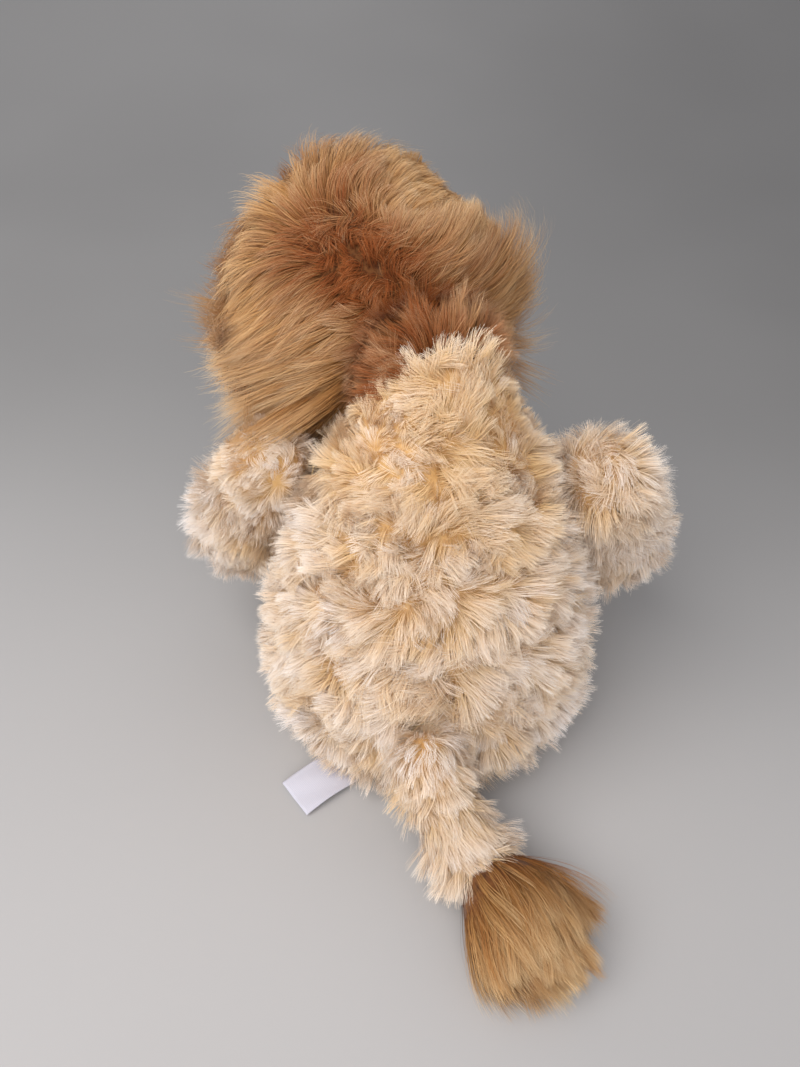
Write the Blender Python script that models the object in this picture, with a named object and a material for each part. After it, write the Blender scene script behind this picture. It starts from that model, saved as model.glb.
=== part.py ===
"""A sitting plush lion with a long mane, built piece by piece.

Units: the dimensions below are millimetres and MM turns them into metres.
Frame: +Z up, the lion faces -Y, its left side is +X. The origin is the centre
of the flat seat, on the surface that it sits on.
"""

import math

import bmesh
import bpy
import numpy as np
from mathutils import Matrix, Vector

MM = 0.001
SEAM = 0.4  # gap left between two sewn panels

# ---------------------------------------------------------------- dimensions
# Torso cross-sections: centre y, centre z, half width, half depth, forward tilt in degrees.
TORSO_RINGS = [
    (0.0, 1.2, 63.0, 53.0, 0.0),
    (0.0, 9.0, 71.5, 59.5, 0.0),
    (0.0, 25.0, 77.5, 64.5, 0.0),
    (0.0, 55.0, 78.0, 66.5, 0.0),
    (-0.5, 88.0, 70.5, 61.0, 3.0),
    (-2.0, 118.0, 61.5, 53.0, 8.0),
    (-5.0, 144.0, 51.0, 44.5, 18.0),
    (-10.0, 165.0, 40.5, 36.5, 32.0),
    (-16.0, 180.0, 32.5, 30.5, 46.0),
    (-21.0, 187.5, 28.2, 28.0, 54.0),
]
TORSO_PILE = 5.0  # dense part of the torso's pile, outside the backing cloth
PANEL_INSIDE = 1.0  # backing cloth and seam allowance, inside the nominal skin
SIDE_SEAM_DEG = -15.0  # side seams sit a little forward of the widest point
GUSSET_THICK = 3.0
GUSSET_HALF = (60.5, 50.5)

# Neck: a ball of stuffing that the head turns on.
NECK = np.array((2.0, -22.0, 190.0))
NECK_BALL_R = 22.9
NECK_CUP_R = 25.8  # hollow of the torso's stuffing around the ball
NECK_THREAD_R = 24.0
NECK_THREAD_TUBE = 0.8
HEAD_POCKET_R = 26.0  # hollow in the head's stuffing around the ball
HEAD_HOLE_DEG = 31.0

# Head: half sizes across, front to back and up, with the pose it slumps into.
HEAD_CENTRE = np.array((33.0, -84.0, 203.5))
HEAD_HALF = (56.0, 53.0, 54.0)
HEAD_ROLL_DEG = 28.0
HEAD_FRONT = (0.087, -0.942, -0.324)
MANE_PILE = 7.0
FACE_PILE = 4.0
FACE_EDGE_DEG = 54.0
MUZZLE_DROP_DEG = 13.0
MUZZLE_EDGE_DEG = 24.0
MUZZLE_BULGE = 15.0
EYE_R = 6.3
EAR_W = 14.5
EAR_H = 21.0
EAR_FOLD = 3.5  # the fold line's height above the ear's foot
EAR_SPREAD_DEG = 46.0
EAR_BACK_DEG = 52.0

# Limbs: (root joint, tip centre, root radius, tip radius) of the lion's left side.
ARM_ROOT = (79.5, -13.0, 147.0)
ARM_TIP = (102.0, -46.0, 86.0)
ARM_R = (21.0, 27.0)
LEG_ROOT = (56.5, -83.5, 30.0)
LEG_TIP = (78.0, -151.0, 31.8)
LEG_R = (25.0, 31.0)
LIMB_SHELL = 5.0  # backing plus dense pile of a limb panel

# Tail: its centre line from the sewn root to the end, then the tuft.
TAIL_LINE = [
    (0.0, 88.6, 60.0),
    (-6.0, 94.0, 46.0),
    (-13.0, 100.5, 33.0),
    (-20.0, 107.5, 23.5),
    (-25.5, 113.5, 18.5),
    (-28.5, 117.0, 17.0),
]
TAIL_R = 15.0
TAIL_SHELL = 5.0
TUFT_START = (-30.0, 119.0, 17.3)
TUFT_END = (-56.5, 158.5, 15.0)
TUFT_R = 19.0

LABEL_ROOT = (40.2, 54.3, 2.4)
LABEL_END = (65.0, 75.0, 1.3)
LABEL_W = 23.0
LABEL_T = 0.8


# ---------------------------------------------------------------- tools
def clear_scene():
    for obj in list(bpy.data.objects):
        bpy.data.objects.remove(obj, do_unlink=True)
    for block in (bpy.data.meshes, bpy.data.materials):
        for item in list(block):
            block.remove(item)


def unit(v):
    v = np.asarray(v, float)
    return v / np.linalg.norm(v, axis=-1, keepdims=True)


def material(name, colour, roughness, metallic=0.0):
    mat = bpy.data.materials.new(name)
    mat.use_nodes = True
    shader = mat.node_tree.nodes["Principled BSDF"]
    shader.inputs["Base Color"].default_value = (*colour, 1.0)
    shader.inputs["Roughness"].default_value = roughness
    shader.inputs["Metallic"].default_value = metallic
    mat.diffuse_color = (*colour, 1.0)
    return mat


def add_object(name, bm, mat, origin=(0.0, 0.0, 0.0), parent=None):
    """Makes the object from a bmesh in world millimetres, with its own origin in world millimetres."""
    bmesh.ops.remove_doubles(bm, verts=bm.verts, dist=1e-3)
    bmesh.ops.recalc_face_normals(bm, faces=bm.faces)
    origin = Vector(origin)
    bmesh.ops.transform(
        bm, matrix=Matrix.Scale(MM, 4) @ Matrix.Translation(-origin), verts=bm.verts
    )
    for face in bm.faces:
        face.smooth = True
    mesh = bpy.data.meshes.new(name)
    bm.to_mesh(mesh)
    bm.free()
    mesh.materials.append(mat)
    obj = bpy.data.objects.new(name, mesh)
    bpy.context.scene.collection.objects.link(obj)
    if parent is None:
        obj.location = origin * MM
    else:
        obj.parent = parent
        obj.location = origin * MM - parent.location
    return obj


def add_pivot(name, pos):
    empty = bpy.data.objects.new(name, None)
    empty.empty_display_size = 0.02
    empty.location = Vector(pos) * MM
    bpy.context.scene.collection.objects.link(empty)
    return empty


def skin(bm, grid, wrap=False):
    """Adds a grid of points as quads. wrap closes the second direction."""
    rows = [[bm.verts.new(p) for p in row] for row in grid]
    n = len(rows[0])
    for a, b in zip(rows, rows[1:]):
        for j in range(n if wrap else n - 1):
            k = (j + 1) % n
            bm.faces.new((a[j], a[k], b[k], b[j]))
    return rows


def panel(outer, inner):
    """A closed panel between an outer and an inner grid, with a rim all round."""
    bm = bmesh.new()
    out, inn = skin(bm, outer), skin(bm, inner[:, ::-1])
    inn = [row[::-1] for row in inn]
    loops = []
    for rows in (out, inn):
        loops.append(
            rows[0][:-1]
            + [r[-1] for r in rows[:-1]]
            + rows[-1][:0:-1]
            + [r[0] for r in rows[:0:-1]]
        )
    a, b = loops
    for i in range(len(a)):
        k = (i + 1) % len(a)
        bm.faces.new((a[i], b[i], b[k], a[k]))
    return bm


def solid_of_rings(rings):
    """A closed solid through rings of points. A ring of equal points is a pole."""
    bm = bmesh.new()
    rows = skin(bm, np.asarray(rings), wrap=True)
    for row in (rows[0], rows[-1]):
        points = [v.co for v in row]
        if max((p - points[0]).length for p in points) > 1e-6:
            bm.faces.new(row)
    return bm


def lathe(profile, base, axis, steps=20):
    """Turns (radius, height) pairs round an axis that starts at base."""
    axis = unit(axis)
    side = unit(np.cross(axis, (0.3, 0.9, 0.1)))
    other = np.cross(axis, side)
    turn = np.linspace(0, 2 * math.pi, steps, endpoint=False)
    circle = np.outer(np.cos(turn), side) + np.outer(np.sin(turn), other)
    rings = [np.asarray(base) + h * axis + r * circle for r, h in profile]
    return solid_of_rings(rings)


def ring_solid(centre, axis, radius, tube, steps=20, sides=5):
    """A closed ring of thread."""
    axis = unit(axis)
    side = unit(np.cross(axis, (0.3, 0.9, 0.1)))
    other = np.cross(axis, side)
    bm = bmesh.new()
    rows = []
    for i in range(steps):
        a = 2 * math.pi * i / steps
        out = math.cos(a) * side + math.sin(a) * other
        row = []
        for j in range(sides):
            b = 2 * math.pi * j / sides
            row.append(
                bm.verts.new(
                    np.asarray(centre)
                    + out * (radius + tube * math.cos(b))
                    + axis * tube * math.sin(b)
                )
            )
        rows.append(row)
    for i in range(steps):
        a, b = rows[i], rows[(i + 1) % steps]
        for j in range(sides):
            k = (j + 1) % sides
            bm.faces.new((a[j], a[k], b[k], b[j]))
    return bm


def cutter(name, bm):
    obj = add_object(name, bm, MATERIALS["thread"])
    obj.hide_render = True
    obj.display_type = "WIRE"
    return obj


def cut(obj, tool):
    boolean = obj.modifiers.new("Cut " + tool.name, "BOOLEAN")
    boolean.operation = "DIFFERENCE"
    boolean.solver = "EXACT"
    boolean.object = tool


# ---------------------------------------------------------------- torso
def torso_ring(t, grow, angles):
    """Points of the torso's cross-section at t (0 at the seat, 1 at the neck), grown by some millimetres."""
    keys = np.asarray(TORSO_RINGS)
    at = t * (len(keys) - 1)
    cy, cz, rx, ry, tilt = (np.interp(at, range(len(keys)), keys[:, i]) for i in range(5))
    tilt = math.radians(tilt)
    x = (rx + grow) * np.cos(angles)
    y = (ry + grow) * np.sin(angles)
    return np.stack(
        [x, cy + y * math.cos(tilt), cz + y * math.sin(tilt)], axis=-1
    )


def torso_panel(name, start, end, columns, mat):
    """One torso panel between two angles, counted from the lion's left towards its back."""
    rows = np.linspace(0, 1, 10)
    grids = []
    for grow in (TORSO_PILE, -PANEL_INSIDE):
        grid = []
        for t in rows:
            radius = np.interp(
                t * (len(TORSO_RINGS) - 1),
                range(len(TORSO_RINGS)),
                [r[2] for r in TORSO_RINGS],
            )
            trim = SEAM / 2 / radius
            angles = np.linspace(
                math.radians(start) + trim, math.radians(end) - trim, columns
            )
            grid.append(torso_ring(t, grow, angles))
        grids.append(np.asarray(grid))
    return add_object(name, panel(*grids), mat)


def build_torso():
    cut_1, cut_2 = SIDE_SEAM_DEG, 180.0 - SIDE_SEAM_DEG
    torso_panel("back_panel_left", cut_1, 90.0, 10, MATERIALS["back_pile"])
    torso_panel("back_panel_right", 90.0, cut_2, 10, MATERIALS["back_pile_right"])
    torso_panel("belly_panel", cut_2, 360.0 + cut_1, 13, MATERIALS["belly_pile"])

    turn = np.linspace(0, 2 * math.pi, 40, endpoint=False)
    gx, gy = GUSSET_HALF
    rings = [
        np.stack([x * np.cos(turn), y * np.sin(turn), np.full(40, z)], -1)
        for x, y, z in (
            (gx - 0.8, gy - 0.8, 0.0),
            (gx, gy, 0.8),
            (gx, gy, GUSSET_THICK - 0.6),
            (gx - 0.6, gy - 0.6, GUSSET_THICK),
        )
    ]
    add_object("seat_gusset", solid_of_rings(rings), MATERIALS["seat_cloth"])

    # Stuffing, with a recess underneath for the pellet pouch and a hollow at the neck.
    turn = np.linspace(0, 2 * math.pi, 26, endpoint=False)
    rings = [np.tile((0.0, 0.0, 27.5), (26, 1))]
    for r, z in ((52.0, 27.5), (54.0, 26.0), (54.0, 4.6), (57.0, 4.2)):
        rings.append(
            np.stack([r * np.cos(turn), r * 0.84 * np.sin(turn), np.full(26, z)], -1)
        )
    for i, t in enumerate((*np.linspace(0, 0.82, 9), 0.88, 0.925)):
        ring = torso_ring(t, -PANEL_INSIDE - 0.6, turn)
        ring[:, 2] = np.maximum(ring[:, 2], 4.2)
        if i:
            rings.append(ring)
    # The top is a cup around the neck ball.
    top = unit(rings[-1] - NECK)
    bottom = unit(torso_ring(0.7, 0.0, turn).mean(axis=0) - NECK)
    for share in (0.0, 0.25, 0.5, 0.75, 1.0):
        way = top if share == 0 else between(top, np.tile(bottom, (26, 1)), share)
        rings.append(NECK + way * NECK_CUP_R)
    rings[-1] = np.tile(NECK + bottom * NECK_CUP_R, (26, 1))
    add_object("torso_stuffing", solid_of_rings(rings), MATERIALS["stuffing"])

    # Pellet pouch: a flat cloth bag with a filling mouth on top, and the pellets in it.
    profile = [
        (0.0, 3.6), (40.0, 3.8), (47.0, 6.5), (49.5, 11.0), (47.5, 16.0), (40.0, 20.5),
        (20.0, 23.6), (8.0, 24.2), (7.0, 25.6), (6.0, 25.6), (6.0, 23.2), (20.0, 22.3),
        (39.5, 19.3), (46.2, 15.4), (48.2, 11.0), (46.0, 7.4), (39.6, 5.0), (0.0, 4.8),
    ]
    bag = [np.tile((0.0, 0.0, profile[0][1]), (20, 1))]
    turn = np.linspace(0, 2 * math.pi, 20, endpoint=False)
    oval = np.stack([np.cos(turn), 0.86 * np.sin(turn)], -1)
    for r, z in profile[1:]:
        bag.append(np.column_stack([oval * r, np.full(20, z)]))
    add_object("pellet_pouch", solid_of_rings(bag), MATERIALS["pouch_cloth"])
    fill = [
        np.column_stack([oval * r, np.full(20, z)])
        for r, z in (
            (0.0, 5.4), (39.0, 5.6), (45.0, 7.8), (47.2, 11.0), (45.2, 14.8), (39.0, 18.4),
            (20.0, 21.4), (0.0, 22.2),
        )
    ]
    add_object("pellet_fill", solid_of_rings(fill), MATERIALS["pellets"])


# ---------------------------------------------------------------- limbs
def limb_rings(root, tip, radii, grow, rows, angles, up):
    """Capsule from root to tip that swells towards the tip, as rings of points from pole to pole."""
    root, tip = np.asarray(root, float), np.asarray(tip, float)
    along = tip - root
    length = np.linalg.norm(along)
    along /= length
    side = unit(np.cross(along, up))
    top = np.cross(side, along)
    r0, r1 = radii[0] + grow, radii[1] + grow
    rings = []
    for s in rows:
        # s runs 0..1 over the root dome, 1..2 over the sleeve, 2..3 over the tip dome
        if s <= 1:
            a = math.pi / 2 * (1 - s)
            x, r = -r0 * math.sin(a), r0 * math.cos(a)
        elif s <= 2:
            x, r = length * (s - 1), r0 + (r1 - r0) * min(1.0, 1.12 * (s - 1) ** 1.5)
        else:
            a = math.pi / 2 * (s - 2)
            x, r = length + r1 * math.sin(a) * 0.92, r1 * math.cos(a)
        if s == 0 or s == 3:
            r = 0.0
        circle = np.outer(np.cos(angles), side) + np.outer(np.sin(angles), top)
        rings.append(root + along * x + circle * r)
    return np.asarray(rings)


ROWS_LIMB = [0, 0.4, 0.75, 1.0, 1.25, 1.5, 1.75, 2.0, 2.35, 2.7, 3.0]


def limb_panel(name, root, tip, radii, side, mat, parent, up):
    """One half of a limb's cover, split along its length."""
    half = np.linspace(0, math.pi, 9) * side
    outer = limb_rings(root, tip, radii, 0.0, ROWS_LIMB, half, up)
    inner = limb_rings(root, tip, radii, -LIMB_SHELL, ROWS_LIMB, half, up)
    along = unit(np.subtract(tip, root))
    top = np.cross(unit(np.cross(along, up)), along)
    shift = top * (SEAM / 2) * side
    return add_object(name, panel(outer + shift, inner + shift), mat, root, parent)


def build_limb(kind, side_name, mirror, root, tip, radii, mats, up, axis):
    flip = np.array((mirror, 1.0, 1.0))
    root, tip = np.asarray(root) * flip, np.asarray(tip) * flip
    pivot = add_pivot(f"{kind}_{side_name}_joint", root)
    upper = "top" if kind == "leg" else "outer"
    under = "under" if kind == "leg" else "inner"
    limb_panel(f"{kind}_{upper}_panel_{side_name}", root, tip, radii, 1, mats[0], pivot, up)
    limb_panel(f"{kind}_{under}_panel_{side_name}", root, tip, radii, -1, mats[1], pivot, up)
    turn = np.linspace(0, 2 * math.pi, 14, endpoint=False)
    rings = limb_rings(root, tip, radii, -LIMB_SHELL - 0.7, ROWS_LIMB, turn, up)
    add_object(
        f"{kind}_stuffing_{side_name}", solid_of_rings(rings), MATERIALS["stuffing"], root, pivot
    )
    # The stitches that close the limb onto the torso.
    axis = unit(np.asarray(axis) * flip)
    add_object(
        f"{'shoulder' if kind == 'arm' else 'hip'}_stitching_{side_name}",
        ring_solid(root - axis * (radii[0] + 0.15), axis, 9.0, 0.45, 18, 5),
        MATERIALS["thread"],
        root,
        pivot,
    )
    return pivot, root, tip


def build_limbs():
    for side_name, mirror in (("left", 1.0), ("right", -1.0)):
        build_limb(
            "arm", side_name, mirror, ARM_ROOT, ARM_TIP, ARM_R,
            (MATERIALS["arm_pile"], MATERIALS["arm_pile_inner"]),
            (mirror * 1.0, 0.25, 0.35), ARM_OUT,
        )
        pivot, root, tip = build_limb(
            "leg", side_name, mirror, LEG_ROOT, LEG_TIP, LEG_R,
            (MATERIALS["leg_pile"], MATERIALS["leg_pile_under"]),
            (0.0, 0.0, 1.0), LEG_OUT,
        )
        # Sole pad: a smooth disc sewn on the foot's front, over the cover's end.
        along = unit(tip - root)
        face = tip + along * (LEG_R[1] * 0.92)
        profile = [
            (0.0, 0.5), (8.0, -0.6), (14.5, -3.2), (19.5, -7.2),
            (20.3, -6.2), (15.0, -1.6), (8.4, 1.3), (0.0, 2.5),
        ]
        add_object(
            f"sole_pad_{side_name}", lathe(profile, face, along, 22), MATERIALS["sole"], root, pivot
        )


# ---------------------------------------------------------------- tail
def smooth_line(points, steps):
    """A smooth curve through the points, with its direction at each step."""
    p = np.asarray(points, float)
    ends = np.vstack([2 * p[0] - p[1], p, 2 * p[-1] - p[-2]])
    out = []
    for u in np.linspace(0, len(p) - 1, steps):
        i = min(int(u), len(p) - 2)
        t = u - i
        a, b, c, d = ends[i : i + 4]
        out.append(
            0.5 * (2 * b + (c - a) * t + (2 * a - 5 * b + 4 * c - d) * t**2
                   + (3 * b - a - 3 * c + d) * t**3)
        )
    out = np.asarray(out)
    return out, unit(np.gradient(out, axis=0))


def tube_rings(points, steps, radius, dome, sides, tip_radius=None, trim=0):
    """Rings along the line, starting with a round root, up to the open end."""
    line, way = smooth_line(points, steps)
    angles = np.linspace(0, 2 * math.pi, sides, endpoint=False)
    rings = []
    side = unit(np.cross(way[0], (0.0, 0.0, 1.0)))
    frames = []
    for d in way:
        side = unit(side - d * (side @ d))
        frames.append((side, np.cross(side, d)))
    for a in dome:
        s, t = frames[0]
        r = radius * math.cos(a)
        circle = np.outer(np.cos(angles), s) + np.outer(np.sin(angles), t)
        rings.append(line[0] - way[0] * radius * math.sin(a) + circle * (0 if a >= 1.57 else r))
    tip_radius = tip_radius or radius
    for i in range(steps - trim):
        s, t = frames[i]
        r = radius + (tip_radius - radius) * i / (steps - 1)
        circle = np.outer(np.cos(angles), s) + np.outer(np.sin(angles), t)
        rings.append(line[i] + circle * r)
    return rings


def build_tail():
    pivot = add_pivot("tail_joint", TAIL_LINE[0])
    dome = [math.pi / 2, 1.0, 0.5]
    outer = tube_rings(TAIL_LINE, 9, TAIL_R, dome, 16, TAIL_R - 1)
    inner = tube_rings(TAIL_LINE, 9, TAIL_R - TAIL_SHELL, dome, 16, TAIL_R - 1 - TAIL_SHELL)
    rings = outer + inner[::-1]
    add_object("tail_cover", solid_of_rings(rings), MATERIALS["tail_pile"], TAIL_LINE[0], pivot)
    core = tube_rings(TAIL_LINE, 9, TAIL_R - TAIL_SHELL - 0.7, dome, 12, TAIL_R - TAIL_SHELL - 1.7)
    core.append(np.tile(core[-1].mean(axis=0), (12, 1)))
    add_object("tail_stuffing", solid_of_rings(core), MATERIALS["stuffing"], TAIL_LINE[0], pivot)
    start, end = np.asarray(TUFT_START), np.asarray(TUFT_END)
    way = unit(end - start)
    side = unit(np.cross(way, (0, 0, 1.0)))
    up = np.cross(side, way)
    turn = np.linspace(0, 2 * math.pi, 18, endpoint=False)
    rings = []
    for share, size in (
        (0.0, 0.0), (0.0, 0.55), (0.1, 0.78), (0.28, 0.97), (0.5, 1.0), (0.72, 0.86), (0.88, 0.55),
        (0.97, 0.25), (1.0, 0.0),
    ):
        circle = np.outer(np.cos(turn), side) + np.outer(np.sin(turn), up) * 0.86
        ring = start + (end - start) * share + circle * TUFT_R * size
        ring[:, 2] = np.maximum(ring[:, 2], 0.9)
        rings.append(ring)
    add_object("tail_tuft", solid_of_rings(rings), MATERIALS["tuft_pile"], TAIL_LINE[0], pivot)
    out = unit(np.array((0.0, 1.0, 0.06)))
    add_object(
        "tail_stitching",
        ring_solid(np.asarray(TAIL_LINE[0]) - out * (TAIL_R + 0.15), out, 7.0, 0.45, 16, 5),
        MATERIALS["thread"], TAIL_LINE[0], pivot,
    )


# ---------------------------------------------------------------- head
def head_axes():
    front = unit(HEAD_FRONT)
    up = unit(np.array((0, 0, 1.0)) - front * front[2])
    left = np.cross(up, front)
    roll = math.radians(HEAD_ROLL_DEG)
    return (
        math.cos(roll) * left - math.sin(roll) * up,
        front,
        math.cos(roll) * up + math.sin(roll) * left,
    )


def circle_of(pole, zero, half_angle, turns):
    """Directions at one angle from the pole. Turn 0 lies towards zero."""
    pole = unit(pole)
    a = unit(zero - pole * (zero @ pole))
    b = np.cross(pole, a)
    h = math.radians(half_angle)
    turns = np.asarray(turns)
    return (
        math.cos(h) * pole
        + math.sin(h) * (np.outer(np.cos(turns), a) + np.outer(np.sin(turns), b))
    )


def between(a, b, t):
    """Directions a share t of the way from a to b, along the sphere."""
    dot = np.clip((a * b).sum(-1, keepdims=True), -1, 1)
    w = np.arccos(dot)
    return (np.sin((1 - t) * w) * a + np.sin(t * w) * b) / np.sin(w)


def head_radius(d):
    left, front, up = head_axes()
    a, b, c = HEAD_HALF
    r = 1 / np.sqrt((d @ left / a) ** 2 + (d @ front / b) ** 2 + (d @ up / c) ** 2)
    muzzle = circle_of(front, up, MUZZLE_DROP_DEG, [math.pi])[0]
    away = np.degrees(np.arccos(np.clip(d @ muzzle, -1, 1)))
    share = np.clip((MUZZLE_EDGE_DEG + 5 - away) / (MUZZLE_EDGE_DEG + 5), 0, 1)
    return r + MUZZLE_BULGE * np.sin(share * math.pi / 2) ** 1.3


def head_point(d, grow):
    return HEAD_CENTRE + d * (head_radius(d) + grow)[..., None]


def gap_turns(start, end, columns, trim):
    return np.linspace(math.radians(start) + trim, math.radians(end) - trim, columns)


def pad_on_head(centre, across, down, half_w, half_h, shape, base, height, rings=4, steps=20):
    """A low pad that follows the head's surface, with a flat back and a domed front."""
    outer, inner = [], []
    for rho in np.linspace(0, 1, rings + 1):
        turn = np.linspace(0, 2 * math.pi, steps, endpoint=False)
        w = rho * half_w * np.cos(turn) * shape(np.sin(turn))
        h = rho * half_h * np.sin(turn)
        d = unit(centre + np.outer(w, across) + np.outer(h, down))
        dome = height * math.sqrt(max(0.0, 1 - (rho * 0.93) ** 2))
        outer.append(HEAD_CENTRE + d * (head_radius(d) + base + dome)[:, None])
        inner.append(HEAD_CENTRE + d * (head_radius(d) + base)[:, None])
    return solid_of_rings(outer + inner[::-1])


def build_head():
    left, front, up = head_axes()
    to_neck = unit(NECK - HEAD_CENTRE)
    muzzle = circle_of(front, up, MUZZLE_DROP_DEG, [math.pi])[0]
    pivot = add_pivot("head_joint", NECK)
    trim = SEAM / 2 / 45.0
    rad = math.degrees(SEAM / 60.0)

    # Mane: two long-pile panels from the face seam over the head to the neck hole.
    for name, start, end, key in (
        ("mane_panel_left", 0.0, 180.0, "mane_pile"),
        ("mane_panel_right", 180.0, 360.0, "mane_pile_right"),
    ):
        turns = gap_turns(start, end, 13, trim * 1.6)
        face_side = circle_of(front, up, FACE_EDGE_DEG + rad, turns)
        neck_side = circle_of(to_neck, up, HEAD_HOLE_DEG, -turns)
        dirs = np.asarray([between(face_side, neck_side, t) for t in np.linspace(0, 1, 9)])
        add_object(
            name,
            panel(head_point(dirs, MANE_PILE), head_point(dirs, -1.5)),
            MATERIALS[key], NECK, pivot,
        )

    # Face: two short-pile panels between the muzzle and the mane.
    faces = []
    for name, start, end, key in (
        ("face_panel_left", 0.0, 180.0, "face_pile"),
        ("face_panel_right", 180.0, 360.0, "face_pile_right"),
    ):
        turns = gap_turns(start, end, 13, trim * 2.4)
        inside = circle_of(muzzle, up, MUZZLE_EDGE_DEG + rad, turns)
        outside = circle_of(front, up, FACE_EDGE_DEG - rad, turns)
        dirs = np.asarray([between(inside, outside, t) for t in np.linspace(0, 1, 5)])
        faces.append(
            add_object(
                name,
                panel(head_point(dirs, FACE_PILE), head_point(dirs, -1.5)),
                MATERIALS[key], NECK, pivot,
            )
        )

    # Muzzle and chin: the chin fills the sector left open under the mouth.
    turns = np.radians(np.linspace(-128, 128, 19))
    shares = np.linspace(0, MUZZLE_EDGE_DEG - rad, 6)
    dirs = np.asarray([circle_of(muzzle, up, a, turns) for a in shares])
    add_object(
        "muzzle_panel",
        panel(head_point(dirs, FACE_PILE), head_point(dirs, -1.5)),
        MATERIALS["muzzle_pile"], NECK, pivot,
    )
    dirs = []
    for a in np.linspace(7.0, MUZZLE_EDGE_DEG - rad, 5):
        lean = math.radians(130) + 0.25 / (60 * math.sin(math.radians(a)))
        dirs.append(circle_of(muzzle, up, a, np.linspace(lean, 2 * math.pi - lean, 9)))
    dirs = np.asarray(dirs)
    add_object(
        "chin_panel",
        panel(head_point(dirs, FACE_PILE - 0.8), head_point(dirs, -1.5)),
        MATERIALS["chin_pile"], NECK, pivot,
    )

    # Head stuffing, hollowed where the neck ball sits.
    back = -front
    rings = []
    for a in np.linspace(0, 180, 16):
        d = circle_of(back, up, a, np.linspace(0, 2 * math.pi, 24, endpoint=False))
        r = head_radius(d) - 3.4
        rel = HEAD_CENTRE - NECK
        b = d @ rel
        c = rel @ rel - (HEAD_POCKET_R + 0.9) ** 2
        root = b * b - c
        hit = np.where((root > 0) & (b < 0), -b - np.sqrt(np.maximum(root, 0)), 1e9)
        rings.append(HEAD_CENTRE + d * np.minimum(r, hit)[:, None])
    stuffing = add_object(
        "head_stuffing", solid_of_rings(rings), MATERIALS["stuffing"], NECK, pivot
    )

    # Eyes with their shanks, washers behind the cloth, and the holes that they pass.
    for name, turn, face in (("left", 33.0, faces[0]), ("right", -33.0, faces[1])):
        d = circle_of(muzzle, up, 35.0, [math.radians(turn)])[0]
        surface = float(head_radius(d[None])[0])
        back = surface + FACE_PILE + 0.8
        eye = [
            (0.0, surface - 8.5), (1.9, surface - 8.5), (2.0, back), (EYE_R - 0.7, back),
            (EYE_R, back + 0.6), (EYE_R * 0.93, back + 1.9), (EYE_R * 0.7, back + 3.3),
            (EYE_R * 0.38, back + 4.2), (0.0, back + 4.6),
        ]
        add_object(f"eye_{name}", lathe(eye, HEAD_CENTRE, d, 20), MATERIALS["eye"], NECK, pivot)
        washer = [
            (2.5, surface - 5.0), (7.0, surface - 5.0), (7.0, surface - 3.6), (2.5, surface - 3.6),
        ]
        turns = np.linspace(0, 2 * math.pi, 20, endpoint=False)
        side = unit(np.cross(d, (0.3, 0.9, 0.1)))
        circle = np.outer(np.cos(turns), side) + np.outer(np.sin(turns), np.cross(d, side))
        rows = [HEAD_CENTRE + h * d + r * circle for r, h in washer]
        bm = bmesh.new()
        skin(bm, np.asarray(rows + rows[:1]), wrap=True)
        add_object(f"eye_washer_{name}", bm, MATERIALS["washer"], NECK, pivot)
        hole = cutter(
            f"eye_hole_cutter_{name}",
            lathe(
                [
                    (0.0, surface - 9.3), (2.5, surface - 9.3), (2.5, surface - 5.6),
                    (7.7, surface - 5.6), (7.7, surface - 2.2), (2.5, surface - 2.0),
                    (2.5, surface + 12), (0.0, surface + 12),
                ],
                HEAD_CENTRE, d, 20,
            ),
        )
        cut(stuffing, hole)
        cut(face, hole)

    # Nose and mouth.
    nose_at = circle_of(muzzle, up, 9.0, [0.0])[0]
    across = unit(np.cross(up, nose_at))
    down = -unit(np.cross(nose_at, across))
    add_object(
        "nose",
        pad_on_head(
            nose_at, across, down, 0.125, 0.085,
            lambda v: 1 - 0.38 * (v + 1) / 2, FACE_PILE + 0.3, 4.0,
        ),
        MATERIALS["nose"], NECK, pivot,
    )
    turns = np.linspace(-1, 1, 17)
    path = []
    for u in turns:
        side = 0.2 * u
        fall = 0.075 + 0.05 * math.sin(math.pi * abs(u))
        d = unit(muzzle + across * side - unit(up) * fall)
        path.append(HEAD_CENTRE + d * (float(head_radius(d[None])[0]) + FACE_PILE + 1.0))
    path = np.asarray(path)
    way = unit(np.gradient(path, axis=0))
    rings = []
    for i, (p, w) in enumerate(zip(path, way)):
        outward = unit(p - HEAD_CENTRE)
        s = unit(np.cross(w, outward))
        t = np.cross(s, w)
        a = np.linspace(0, 2 * math.pi, 6, endpoint=False)
        rings.append(p + 0.6 * (np.outer(np.cos(a), s) + np.outer(np.sin(a), t)))
    add_object("mouth_stitching", solid_of_rings(rings), MATERIALS["mouth"], NECK, pivot)

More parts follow.
